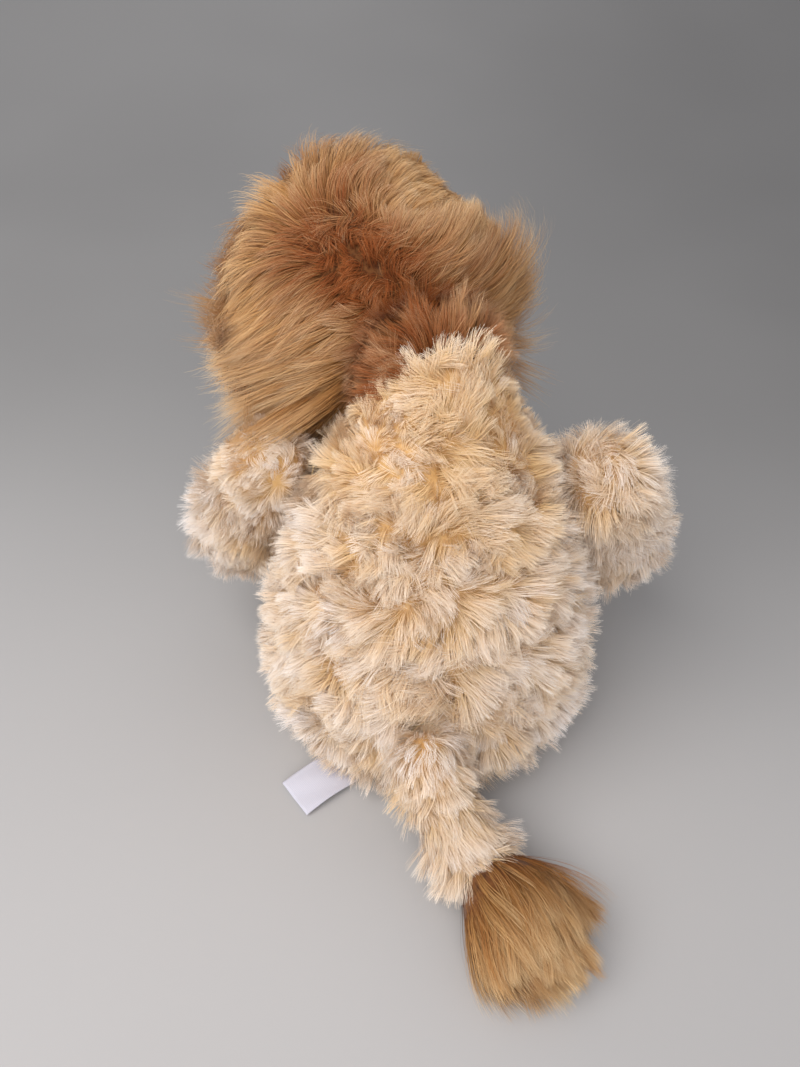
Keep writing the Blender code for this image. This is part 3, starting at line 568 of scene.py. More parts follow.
def cloth_material(name, stops, scale=160.0, roughness=0.95, bump=0.4, sheen=0.2, detail=6.0):
    """Backing cloth, felt or short velour: mottled colour and a fine bump."""
    mat, tree, shader = new_material(name, roughness, sheen)
    coord = tree.nodes.new("ShaderNodeTexCoord")
    noise = tree.nodes.new("ShaderNodeTexNoise")
    noise.inputs["Scale"].default_value = scale
    noise.inputs["Detail"].default_value = detail
    tree.links.new(coord.outputs["Object"], noise.inputs["Vector"])
    r = ramp(tree, stops)
    tree.links.new(noise.outputs["Fac"], r.inputs["Fac"])
    tree.links.new(r.outputs["Color"], shader.inputs["Base Color"])
    fine = tree.nodes.new("ShaderNodeTexNoise")
    fine.inputs["Scale"].default_value = scale * 9
    fine.inputs["Detail"].default_value = 3.0
    tree.links.new(coord.outputs["Object"], fine.inputs["Vector"])
    b = tree.nodes.new("ShaderNodeBump")
    b.inputs["Strength"].default_value = bump
    b.inputs["Distance"].default_value = 0.0006
    tree.links.new(fine.outputs["Fac"], b.inputs["Height"])
    tree.links.new(b.outputs["Normal"], shader.inputs["Normal"])
    return mat


CREAM_LOW = [(0.0, "#E0B377"), (0.4, "#ECC791"), (0.75, "#F2D1A4"), (1.0, "#F7DFBF")]
CREAM_HIGH = [(0.0, "#EACB9F"), (0.35, "#F5E1C8"), (0.65, "#FBEFE6"), (1.0, "#FFFAF8")]
# the darkest root colour is deepened as painted shade for the mane's pits
MANE_LOW = [(0.0, "#2E1006"), (0.12, "#5A240A"), (0.3, "#7A3A12"), (0.7, "#934817"), (1.0, "#AA6026")]
MANE_HIGH = [(0.0, "#8A5228"), (0.3, "#C79257"), (0.65, "#E4BA86"), (1.0, "#F6DDB6")]

MAT = {
    "cream": pile_material("Frosted cream pile", CREAM_LOW, CREAM_HIGH),
    "mane": pile_material("Caramel mane pile", MANE_LOW, MANE_HIGH, 0.6, 0.06),
    "tuft": pile_material(
        "Caramel tuft pile",
        [(0.0, "#6A3A18"), (0.3, "#8C5526"), (0.7, "#AA7038"), (1.0, "#BE8B50")],
        [(0.0, "#926034"), (0.3, "#C49357"), (0.65, "#DDB680"), (1.0, "#F1D7AC")], 0.6, 0.06,
    ),
    "face": pile_material("Short cream face pile", CREAM_LOW, CREAM_HIGH),
    "muzzle": pile_material(
        "Short ivory muzzle pile",
        [(0.0, "#B99B72"), (0.5, "#E8D6BC"), (1.0, "#F4E9D8")],
        [(0.0, "#C9B08C"), (0.5, "#F1E6D4"), (1.0, "#FFFAF2")],
    ),
    "ear": pile_material(
        "Short caramel ear pile",
        [(0.0, "#6B4322"), (0.5, "#9A6A3A"), (1.0, "#B98752")],
        [(0.0, "#85572F"), (0.5, "#BD8C55"), (1.0, "#D9B27E")],
    ),
    "cream_base": cloth_material(
        "Cream backing", [(0.3, "#C79A60"), (0.5, "#D6AC74"), (0.7, "#E2BE8C")]
    ),
    "mane_base": cloth_material(
        "Caramel backing", [(0.3, "#4A2C16"), (0.5, "#6A4020"), (0.7, "#81522C")]
    ),
    "face_base": cloth_material(
        "Face backing", [(0.3, "#C09A66"), (0.5, "#D4B384"), (0.7, "#E2C79E")]
    ),
    "muzzle_base": cloth_material(
        "Muzzle backing", [(0.3, "#D8C3A2"), (0.5, "#E6D6BC"), (0.7, "#F0E4D0")]
    ),
    "ear_inside": cloth_material(
        "Ear inside velour", [(0.3, "#D9B98C"), (0.5, "#E6CBA4"), (0.7, "#F0DCC0")], 300, bump=0.7
    ),
    "sole": cloth_material(
        "Tan sole velour", [(0.3, "#A8794A"), (0.5, "#B98A58"), (0.7, "#C79A69")], 260, bump=0.8
    ),
    "seat": cloth_material(
        "Seat cloth", [(0.3, "#B59A74"), (0.5, "#C7AE88"), (0.7, "#D4BF9C")], 500, bump=0.6
    ),
    "nose": cloth_material(
        "Brown velour nose", [(0.3, "#2E160C"), (0.5, "#3F2013"), (0.7, "#51301F")], 500,
        roughness=0.6, bump=0.5,
    ),
    "thread": cloth_material(
        "Cream thread", [(0.3, "#B89A6C"), (0.6, "#D2B88C")], 900, roughness=0.6, bump=0.8
    ),
    "mouth": cloth_material(
        "Brown embroidery", [(0.3, "#2F1A10"), (0.6, "#4A2B1B")], 900, roughness=0.5, bump=0.8
    ),
    "fill": cloth_material(
        "Polyester fill", [(0.3, "#D9D9D6"), (0.6, "#F2F2EF")], 90, roughness=1.0, bump=1.0
    ),
}


def eye_material():
    mat, tree, shader = new_material("Black glossy eye", 0.06)
    shader.inputs["Specular IOR Level"].default_value = 0.6
    coord = tree.nodes.new("ShaderNodeTexCoord")
    noise = tree.nodes.new("ShaderNodeTexNoise")
    noise.inputs["Scale"].default_value = 220
    tree.links.new(coord.outputs["Object"], noise.inputs["Vector"])
    r = ramp(tree, [(0.35, "#0B0705"), (0.65, "#1A100A")])
    tree.links.new(noise.outputs["Fac"], r.inputs["Fac"])
    tree.links.new(r.outputs["Color"], shader.inputs["Base Color"])
    return mat


def satin_material():
    """White satin ribbon with fine ribs across it."""
    mat, tree, shader = new_material("White satin ribbon", 0.38, 0.3)
    coord = tree.nodes.new("ShaderNodeTexCoord")
    turn = tree.nodes.new("ShaderNodeMapping")
    way = unit(np.subtract(LABEL_END, LABEL_ROOT))
    turn.inputs["Rotation"].default_value = (0, 0, -math.atan2(way[1], way[0]))
    tree.links.new(coord.outputs["Object"], turn.inputs["Vector"])
    wave = tree.nodes.new("ShaderNodeTexWave")
    wave.bands_direction = "Y"
    wave.inputs["Scale"].default_value = 420
    wave.inputs["Distortion"].default_value = 0.6
    tree.links.new(turn.outputs["Vector"], wave.inputs["Vector"])
    r = ramp(tree, [(0.0, "#C6C3CF"), (1.0, "#D6D4DE")])
    tree.links.new(wave.outputs["Fac"], r.inputs["Fac"])
    tree.links.new(r.outputs["Color"], shader.inputs["Base Color"])
    b = tree.nodes.new("ShaderNodeBump")
    b.inputs["Strength"].default_value = 0.35
    b.inputs["Distance"].default_value = 0.0002
    tree.links.new(wave.outputs["Fac"], b.inputs["Height"])
    tree.links.new(b.outputs["Normal"], shader.inputs["Normal"])
    return mat


MAT["eye"], MAT["satin"] = eye_material(), satin_material()


# ---------------------------------------------------------------- torso
SWIRL = np.array((3.8, 61.0, 136.0))
TAIL_BASE = np.array((0.0, 66.0, 79.0))
BODY = dict(
    lean=50, big=9.0, small=2.2, big_pull=0.4, big_fan=-0.15, stack=0.25, small_pull=0.2,
    big_turn=0.7, big_lift=0.32, small_turn=0.3, small_lift=0.16, stray=0.2, droop=0.06,
    curl=0.16, curl_wave=13.0, length_var=0.22, width=0.2, tip=0.4, steps=4, noise_scale=24.0,
    noise_turn=1.0, skin_light=1.3, tone_tuft=0.1, tone_own=0.08,
)


def body_tone(p, seed):
    """Ivory towards the sides and low down, butter in the middle of the back; painted shade makes the top by the
    neck darker and the lit left side (+x) less ivory.
    """
    w = Waves(seed, 48, 1)(p)[:, 0]
    fine = Waves(seed + 1, 17, 1)(p)[:, 0]
    # painted shade: the lit left side (+x) gets less ivory than the right
    edge = smooth(22, 62, np.abs(p[:, 0])) * np.where(p[:, 0] > 0, 0.12, 0.2)
    low = smooth(110, 30, p[:, 2]) * 0.12
    front = smooth(20, -50, p[:, 1]) * 0.15
    # painted shade: the top, which faces the light from above, is made darker
    high = smooth(130, 180, p[:, 2]) * 0.28
    return 0.34 + 0.14 * w + 0.09 * fine + edge + low + front - high


def torso_coat():
    cut_1, cut_2 = -15.0, 195.0
    for node, start, end in (
        ("back_panel_left", cut_1, 90.0), ("back_panel_right", 90.0, cut_2),
        ("belly_panel", cut_2, 360.0 + cut_1),
    ):
        angles = np.radians(np.linspace(start, end, 40))
        rows = np.linspace(0, 1, 46)
        outer = np.asarray([torso_ring(t, 1.2, angles) for t in rows])
        inner = np.asarray([torso_ring(t, -0.9, angles) for t in rows])
        skin = sheet_solid(f"{node}_cloth", outer, inner, MAT["cream_base"])
        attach(skin, "torso")
        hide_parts(node)
    angles = np.linspace(0, TAU, 160, endpoint=False)
    grid = np.asarray([torso_ring(t, 0.6, angles) for t in np.linspace(0, 1, 90)])
    p, n = scatter(grid, 2.6, RNG, wrap=True)
    p, n = p[p[:, 2] > 1.5], n[p[:, 2] > 1.5]
    x, y, z = p.T
    back = smooth(-25, 25, y)
    lateral = np.clip(x / 50, -1, 1) * 1.1
    vertical = np.where(z > 150, smooth(150, 185, z) * 2.2, -smooth(150, 60, z) * 0.8)
    comb = np.stack([lateral, -0.25 * (1 - back), vertical - 0.6 * (1 - back) * (z < 170)], -1)
    off = p - SWIRL
    comb += unit(off) * (1.2 * np.exp(-((off**2).sum(1)) / 24.0**2))[:, None]
    # over the tail's root the pile hangs down and back
    tail = np.exp(-(((p - TAIL_BASE) ** 2).sum(1)) / 23.0**2)[:, None]
    comb = comb * (1 - tail) + np.array((-0.1, 0.6, -0.9)) * tail
    comb = unit(comb - n * (comb * n).sum(1, keepdims=True))
    turn = np.degrees(np.arctan2(y, x))
    groups = np.where((turn > -15) & (turn <= 90), 0, np.where((turn > 90) | (turn < -165), 1, 2))
    # squeezed flat where the head and the limbs press on it
    length = 16.0 - 5.5 * smooth(14, 4, z) + 12.0 * tail[:, 0]
    length -= smooth(152, 182, z) * (-1.0 + 10.0 * smooth(4, 24, np.abs(x + 6))) + 1.5 * smooth(45, 72, np.abs(x))
    pile_objects(
        ["back_pile_left", "back_pile_right", "belly_pile"], p, n, comb, groups,
        [MAT["cream"]] * 3, "torso", RNG, length=length, tone=body_tone(p, 77), seed=11,
        **{**BODY, "lean": 50 + 6 * smooth(150, 180, z) + 20 * tail[:, 0]},
    )


def limb_coat(kind, side, mirror, root, tip, radii, up, body, length):
    flip = np.array((mirror, 1.0, 1.0))
    root, tip = np.asarray(root) * flip, np.asarray(tip) * flip
    names = ("outer", "inner") if kind == "arm" else ("top", "under")
    rows = np.concatenate([np.linspace(0, 1, 9), np.linspace(1, 2, 14)[1:], np.linspace(2, 3, 12)[1:]])
    rows[-1] = 3
    for half, which in ((1, names[0]), (-1, names[1])):
        angles = np.linspace(0, math.pi, 22) * half
        outer = limb_rings(root, tip, radii, -3.6, rows, angles, up)
        inner = limb_rings(root, tip, radii, -5.2, rows, angles, up)
        node = f"{kind}_{which}_panel_{side}"
        skin = sheet_solid(f"{node}_cloth", outer, inner, MAT["cream_base"])
        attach(skin, body)
        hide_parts(node)
    angles = np.linspace(0, TAU, 60, endpoint=False)
    grid = limb_rings(root, tip, radii, -4.2, rows, angles, up)
    p, n = scatter(grid, 2.45, RNG, wrap=True)
    keep = torso_share(p + n * 2.0, 2.0) > 1.0
    along = unit(tip - root)
    if kind == "leg":
        # the sole stays bare
        keep &= ~(((p - tip) @ along > radii[1] * 0.55))
    p, n = p[keep], n[keep]
    lie = np.array((mirror * 0.75, 0.5, -0.32)) if kind == "arm" else along + np.array((mirror * 0.2, 0, -0.2))
    comb = np.tile(lie, (len(p), 1))
    comb = comb - n * (comb * n).sum(1, keepdims=True)
    # from the middle of the paw's end the pile fans out
    end = smooth(0.75, 1.0, (n @ unit(lie)))[:, None]
    comb = unit(comb * (1 - end) + np.array((0, 0, -0.6)) * end)
    comb = unit(comb - n * (comb * n).sum(1, keepdims=True))
    top = np.cross(unit(np.cross(along, up)), along)
    groups = (((p - root) @ top) < 0).astype(int)
    if kind == "arm" and side == "left":
        # the mane lies on this shoulder
        length = length * (0.55 + 0.45 * smooth(5, 42, (p - root) @ along))
    tone = 0.46 + 0.14 * Waves(79 + len(side), 50, 1)(p)[:, 0] + 0.2 * smooth(75, 120, np.abs(p[:, 0]))
    pile_objects(
        [f"{kind}_{names[0]}_pile_{side}", f"{kind}_{names[1]}_pile_{side}"],
        p, n, comb, groups, [MAT["cream"]] * 2, body, RNG,
        length=length, tone=tone, seed=21 + len(side), **BODY,
    )


# ---------------------------------------------------------------- tail
def tail_coat():
    line, way = smooth_line(TAIL_LINE, 26)
    angles = np.linspace(0, TAU, 36, endpoint=False)
    side = unit(np.cross(way[0], (0.0, 0.0, 1.0)))

    def rings(grow):
        out, s = [], side
        for a in (math.pi / 2, 1.2, 0.8, 0.4):
            r = (TAIL_R + grow) * math.cos(a) * (a < 1.57)
            t = np.cross(s, way[0])
            circle = np.outer(np.cos(angles), s) + np.outer(np.sin(angles), t)
            out.append(line[0] - way[0] * (TAIL_R + grow) * math.sin(a) + circle * r)
        for i, d in enumerate(way):
            s = unit(s - d * (s @ d))
            t = np.cross(s, d)
            circle = np.outer(np.cos(angles), s) + np.outer(np.sin(angles), t)
            out.append(line[i] + circle * (TAIL_R + grow - i / 25))
        return np.asarray(out)

    skin = sheet_solid("tail_cloth", rings(-3.6), rings(-5.2), MAT["cream_base"], wrap=True)
    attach(skin, "tail")
    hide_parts("tail_cover")
    grid = rings(-4.2)
    p, n = scatter(grid, 2.8, RNG, wrap=True)
    keep = torso_share(p + n * 2.0, 2.0) > 1.0
    p, n = p[keep], n[keep]
    near = np.array([np.argmin(((line - q) ** 2).sum(1)) for q in p])
    top = smooth(9, 1, near)[:, None] * smooth(-0.3, 0.5, n[:, 2])[:, None]
    comb = way[near] * (1 - top) + unit((-0.1, 0.9, -0.45)) * top
    comb = unit(comb - n * (comb * n).sum(1, keepdims=True))
    tone = 0.42 + 0.13 * Waves(91, 30, 1)(p)[:, 0] + 0.16 * top[:, 0]
    pile_objects(
        ["tail_pile"], p, n, comb, np.zeros(len(p), int), [MAT["cream"]], "tail", RNG,
        length=17.0 - 3.0 * top[:, 0] - 7.0 * smooth(19, 25, near), tone=tone, seed=31,
        **{**BODY, "lean": 58 + 6 * top[:, 0] - 10 * smooth(19, 25, near), "big_turn": 0.3, "noise_turn": 0.25, "big_fan": 0.1, "stray": 0.12},
    )
    # tuft: long straight pile from a small core
    start, end = np.asarray(TUFT_START), np.asarray(TUFT_END)
    way = unit(end - start)
    s = unit(np.cross(way, (0, 0, 1.0)))
    t = np.cross(s, way)
    out = []
    for share, size in (
        (-0.1, 0.0), (-0.1, 0.5), (-0.06, 1.0), (0.06, 1.35), (0.22, 1.75), (0.38, 1.85),
        (0.54, 1.5), (0.66, 0.9), (0.72, 0.4), (0.73, 0.0),
    ):
        circle = np.outer(np.cos(angles), s) + np.outer(np.sin(angles), t) * 0.9
        ring = start + (end - start) * share + circle * 12.0 * size
        ring[:, 2] = np.maximum(ring[:, 2], 1.5)
        out.append(ring)
    grid = np.asarray(out)
    core = sheet_solid("tail_tuft_core", grid, start + (grid - start) * 0.85, MAT["mane_base"], wrap=True)
    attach(core, "tail")
    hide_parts("tail_tuft")
    p, n = scatter(grid, 5.0, RNG, wrap=True)
    keep = (n @ way) > -0.7
    p, n = p[keep], n[keep]
    along = ((p - start) @ way) / np.linalg.norm(end - start)
    # the first rows lie back along the tail
    n = unit(n + way * (0.5 * smooth(0.4, 0.1, along))[:, None])
    comb = np.tile(way, (len(p), 1)) + 0.05 * n
    comb = unit(comb - n * (comb * n).sum(1, keepdims=True) + 1e-4)
    tone = 0.48 + 0.2 * Waves(92, 22, 1)(p)[:, 0] - 0.2 * smooth(0.16, 0.0, along)
    pile_objects(
        ["tail_tuft_pile"], p, n, comb, np.zeros(len(p), int), [MAT["tuft"]], "tail", RNG,
        length=38.0 - 20 * np.clip(along, 0, 1), lean=82 - 68 * smooth(0.5, 0.7, along),
        bow=(0.85, 0.25), hug=0.2, droop=0.03, big=8.0, small=2.6, big_pull=0.3,
        small_pull=0.35, big_turn=0.16, big_lift=0.05, small_turn=0.16, small_lift=0.09, stray=0.09,
        curl=0.1, curl_wave=45.0, width=0.2, steps=7, tone=tone, seed=33, noise_scale=30.0,
        noise_turn=0.2, length_var=0.2, tone_tuft=0.1, tone_own=0.14,
    )


# ---------------------------------------------------------------- head
MANE_POLE = unit((-0.045, 0.92, 0.385))
# the pile parts along a short line on the back of the head, with a few tangled pits by it, where the pile is shorter
# and painted darker as shade
MANE_PART = unit((0.19, 0.70, 0.69)), unit((-0.48, 0.87, 0.12))
MANE_PITS = unit(((0.202, 0.786, 0.584), (0.109, 0.913, 0.394), (-0.147, 0.954, 0.262), (-0.417, 0.855, 0.308)))
# the mane's length by the direction round the head as seen from behind, from the right over the top
MANE_LENGTH = (
    (-90, -30, -10, 0, 10, 20, 30, 40, 60, 70, 80, 90, 100, 130, 150, 180, 270),
    (39, 60, 66, 52, 35, 26, 27, 16, 15, 18, 26, 27, 42, 44, 40, 52, 39),
)


def head_grid(circle_a, circle_b, start, end, rows, cols):
    turns = np.radians(np.linspace(start, end, cols))
    a = circle_of(*circle_a, turns)
    b = circle_of(circle_b[0], circle_b[1], circle_b[2], turns * circle_b[3])
    return np.asarray([between(a, b, t) for t in np.linspace(0, 1, rows)])


def in_body(flat, torso_grow, arm_grow):
    z = flat[:, 2]
    rx = np.interp(z, TORSO_Z, TORSO_TABLE[:, 0]) + torso_grow
    cy = np.interp(z, TORSO_Z, TORSO_TABLE[:, 1])
    ry = np.interp(z, TORSO_Z, TORSO_TABLE[:, 2]) + torso_grow
    inside = (np.hypot(flat[:, 0] / rx, (flat[:, 1] - cy) / ry) < 1) & (z < 188 + torso_grow * 0.4)
    for mirror in (1.0, -1.0):
        a = np.asarray(ARM_ROOT) * (mirror, 1, 1)
        b = np.asarray(ARM_TIP) * (mirror, 1, 1)
        t = np.clip(((flat - a) @ (b - a)) / ((b - a) @ (b - a)), 0, 1)
        far = np.linalg.norm(flat - (a + t[:, None] * (b - a)), axis=1)
        inside |= far < ARM_R[0] + (ARM_R[1] - ARM_R[0]) * t + arm_grow
    return inside


def draped(over):
    """Lifts blades that would run into the torso or an arm: over, where over is 1, or aside."""
    lift = unit((0.12, 0.74, 0.66))

    def avoid(pts):
        count, rows = pts.shape[:2]
        moved = np.zeros((count, rows))
        step = 2.0
        way = np.where(over[:, None] > 0.5, lift, np.array((0.0, -0.9, 0.1)))
        way = unit(way)
        for _ in range(26):
            now = (pts + way[:, None, :] * moved[..., None]).reshape(-1, 3)
            hit = in_body(now, 7.0, -0.5).reshape(count, rows)
            hit[:, 0] = False
            if not hit.any():
                break
            moved[hit] += step
        # the blade rises before it crosses the edge
        for k in range(rows - 2, 0, -1):
            moved[:, k] = np.maximum(moved[:, k], moved[:, k + 1] * (k + 0.5) / (k + 1.5))
        for k in range(1, rows - 1):
            moved[:, k + 1] = np.maximum(moved[:, k + 1], moved[:, k] * 0.92)
        moved[:, 0] = 0
        pts = pts + way[:, None, :] * moved[..., None]
        over_top = np.maximum(pts[..., 2] - 262, 0)
        pts[..., 2] -= over_top - 15 * (1 - np.exp(-over_top / 15))
        wide = np.maximum(pts[..., 0] - 131, 0)
        pts[..., 0] -= wide - 13 * (1 - np.exp(-wide / 13))
        return pts

    return avoid


def head_coat():
    neck_circle = (TO_NECK, UP, HEAD_HOLE_DEG, -1)
    face_in, face_out = (MUZZLE, UP, MUZZLE_EDGE_DEG), (FRONT, UP, FACE_EDGE_DEG)
    for node, start, end in (("mane_panel_left", 0, 180), ("mane_panel_right", 180, 360)):
        dirs = head_grid(face_out, neck_circle, start, end, 40, 44)
        skin = sheet_solid(f"{node}_cloth", head_point(dirs, 1.2), head_point(dirs, -1.2), MAT["mane_base"])
        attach(skin, "head")
        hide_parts(node)
    for node, start, end in (("face_panel_left", 0, 180), ("face_panel_right", 180, 360)):
        dirs = head_grid(face_in, (*face_out, 1), start, end, 20, 44)
        skin = sheet_solid(f"{node}_cloth", head_point(dirs, 1.6), head_point(dirs, -1.2), MAT["face_base"])
        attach(skin, "head")
        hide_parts(node)
    turns = np.radians(np.linspace(-129, 129, 60))
    dirs = np.asarray([circle_of(MUZZLE, UP, a, turns) for a in np.linspace(0, MUZZLE_EDGE_DEG, 22)])
    skin = sheet_solid("muzzle_panel_cloth", head_point(dirs, 1.6), head_point(dirs, -1.2), MAT["muzzle_base"])
    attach(skin, "head")
    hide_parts("muzzle_panel")
    turns = np.radians(np.linspace(129, 231, 30))
    dirs = np.asarray([circle_of(MUZZLE, UP, a, turns) for a in np.linspace(0.5, MUZZLE_EDGE_DEG, 18)])
    skin = sheet_solid("chin_panel_cloth", head_point(dirs, 0.8), head_point(dirs, -1.2), MAT["muzzle_base"])
    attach(skin, "head")
    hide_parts("chin_panel")

    # Mane pile: combed away from the middle of the back of the head.
    dirs = head_grid(face_out, neck_circle, 0, 360, 90, 160)
    grid = head_point(dirs, 0.6)
    p, n = scatter(grid, 2.85, RNG, wrap=False)
    d = unit(p - HEAD_CENTRE)
    pole = MANE_POLE
    part = np.concatenate([between(*MANE_PART, t)[None] for t in np.linspace(0, 1, 25)])
    near = part[(d @ part.T).argmax(axis=1)]
    away = d - near * (d * near).sum(1, keepdims=True)
    comb = unit(away - n * (away * n).sum(1, keepdims=True))
    spread = np.degrees(np.arccos(np.clip((d * near).sum(1), -1, 1)))
    pit = np.exp(-((np.arccos(np.clip(d @ MANE_PITS.T, -1, 1)) / 0.11) ** 2)).max(axis=1)
    rim = np.degrees(np.arccos(np.clip(d @ FRONT, -1, 1)))
    low = smooth(-0.05, 0.5, -comb[:, 2]) * smooth(-0.5, 0.0, d[:, 0])
    sweep = np.stack([
        np.full(len(d), 0.85), np.full(len(d), 0.28), -0.1 - 0.85 * smooth(0.1, -0.7, d[:, 2]),
    ], -1)
    comb = comb + (unit(sweep) - comb) * (0.7 * low)[:, None]
    # round the neck the pile stands away from the seam
    off = p - NECK
    dist = np.linalg.norm(off, axis=1)
    collar = (smooth(64, 46, dist) * (1 - low) * smooth(12, 28, spread))[:, None]
    comb = comb + (unit(off - TO_NECK * (off @ TO_NECK)[:, None]) - comb) * 0.8 * collar
    comb = unit(comb - n * (comb * n).sum(1, keepdims=True))
    hang = low * smooth(10, 40, spread) * (1 - 0.45 * smooth(0.5, 0.9, d[:, 0])) * smooth(0.25, -0.3, d[:, 2])
    rise = smooth(0.3, 0.95, comb[:, 2])
    about = np.degrees(np.arctan2(d @ np.array((0, -0.64, 0.77)), -d[:, 0]))
    about = np.where(about < -90, about + 360, about)
    want = np.interp(about, *MANE_LENGTH)
    length = 14 + (want - 14) * smooth(6, 42, spread) + 20 * hang + 15 * hang * smooth(-0.1, -0.6, d[:, 2])
    length *= 1 - 0.75 * pit
    lean = 60 + 20 * smooth(8, 34, spread) - 8 * smooth(74, 56, rim) - 8 * rise
    mess = smooth(28, 4, spread)
    comb = unit(comb + mess[:, None] * 1.1 * Waves(51, 11, 3)(p))
    comb = unit(comb - n * (comb * n).sum(1, keepdims=True))
    side = d @ LEFT
    # painted shade: the pits are made darker (-0.4 * pit), besides their shorter pile
    tone = (
        0.1 + 0.63 * smooth(6, 56, spread) + 0.12 * smooth(0.2, 0.8, d[:, 2]) * smooth(8, 30, spread) + 0.08 * Waves(52, 34, 1)(p)[:, 0]
        # painted light: the right side (-x), shaded from the key on the left, is made lighter and less red
        + 0.06 * smooth(-0.4, 0.6, side) + 0.28 * smooth(0.1, 0.6, -side) + 0.28 * low * smooth(10, 35, spread) - 0.4 * pit
    )
    # pile pressed by the torso is short
    length = length * (1 - 0.3 * smooth(58, 38, dist))
    groups = (side < 0).astype(int)
    over = ((d @ pole > -0.25) & (d[:, 0] > -0.2)).astype(float)
    pile_objects(
        ["mane_pile_left", "mane_pile_right"], p, n, comb, groups, [MAT["mane"]] * 2, "head", RNG,
        length=length, lean=lean, hug=0.5 * (1 - hang), droop=0.06 + 0.16 * hang * smooth(0.15, -0.5, d[:, 2]), big=11.0, small=2.6,
        big_pull=0.12 + 0.26 * smooth(35, 70, spread), small_pull=0.26, big_turn=0.09, big_lift=0.07, small_turn=0.1,
        small_lift=0.07, stray=0.1 + 0.25 * mess, curl=0.04 + 0.22 * mess, curl_wave=60.0 - 45 * mess,
        width=0.18, skin_light=1.0, steps=6, tone=tone, seed=41, noise_scale=55.0,
        noise_turn=0.2, length_var=0.24, tone_tuft=0.07, tone_own=0.15, avoid=draped(over),
    )

    # Collar: the mane's cloth turns in towards the neck seam.
    turn = np.linspace(0, TAU, 72, endpoint=False)
    outside = head_point(circle_of(TO_NECK, UP, HEAD_HOLE_DEG + 1.5, -turn), 1.0)
    inside = NECK - TO_NECK * 19.5 + (circle_of(TO_NECK, UP, 90.0, -turn)) * 17.6
    rows = np.linspace(0, 1, 10)[:, None, None]
    grid = outside + (inside - outside) * rows - TO_NECK * (3.0 * np.sin(rows * math.pi))
    cloth = sheet_solid("mane_collar_cloth", grid, grid - TO_NECK * 1.6, MAT["mane_base"], wrap=True)
    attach(cloth, "head")
    p, n = scatter(grid, 2.2, RNG, wrap=True)
    n = unit(np.where(((n @ TO_NECK) < 0)[:, None], -n, n) + TO_NECK * 0.5)
    off = p - NECK
    comb = off - TO_NECK * (off @ TO_NECK)[:, None]
    comb = unit(comb - n * (comb * n).sum(1, keepdims=True))
    right = smooth(0, -25, off[:, 0])
    # lighter towards the right (-x): partly the pile's own colour, partly painted light against the shade under the
    # mane
    tone = 0.2 + 0.4 * right + 0.22 * smooth(12, 40, off[:, 0]) + 0.12 * Waves(54, 20, 1)(p)[:, 0]
    pile_objects(
        ["mane_collar_pile"], p, n, comb, np.zeros(len(p), int), [MAT["mane"]], "head", RNG,
        length=18.0 + 16.0 * right, lean=64 + 8 * right, big=10.0, small=2.6, big_pull=0.15, small_pull=0.3, big_turn=0.15, big_lift=0.1,
        stray=0.12, width=0.2, steps=5, tone=tone, seed=44, curl=0.12, curl_wave=30.0, noise_turn=0.4,
    )

    # Neck: short mane cloth over the ball that joins the head to the torso.
    collar = []
    axis = TO_NECK
    a = unit(np.cross(axis, (1.0, 0.0, 0.0)))
    b = np.cross(axis, a)
    turn = np.linspace(0, TAU, 60, endpoint=False)
    for h in np.linspace(0.35, math.pi - 0.35, 26):
        collar.append(NECK + 24.9 * (-axis * math.cos(h) + math.sin(h) * (
            np.outer(np.cos(turn), a) + np.outer(np.sin(turn), b))))
    grid = np.asarray(collar)
    cloth = sheet_solid("neck_cloth", grid, NECK + (grid - NECK) * 0.965, MAT["mane_base"], wrap=True)
    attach(cloth, "neck_ball")
    p, n = scatter(grid, 2.0, RNG, wrap=True)
    keep = (p - NECK) @ axis < 12
    p, n = p[keep], n[keep]
    comb = -axis + 0.5 * Waves(55, 14, 3)(p)
    comb = unit(comb - n * (comb * n).sum(1, keepdims=True))
    # lighter towards the right (-x): partly the pile's own colour, partly painted light against the shade under the
    # mane
    tone = 0.18 + 0.26 * smooth(5, -25, (p - NECK)[:, 0]) + 0.12 * Waves(53, 20, 1)(p)[:, 0]
    pile_objects(
        ["neck_pile"], p, n, comb, np.zeros(len(p), int), [MAT["mane"]], "neck_ball", RNG,
        length=20.0, lean=52, big=9.0, small=2.4, big_pull=0.15, small_pull=0.3, big_lift=0.12, stray=0.15,
        width=0.2, steps=5, tone=tone, seed=43, curl=0.14, curl_wave=26.0, noise_turn=0.4,
    )

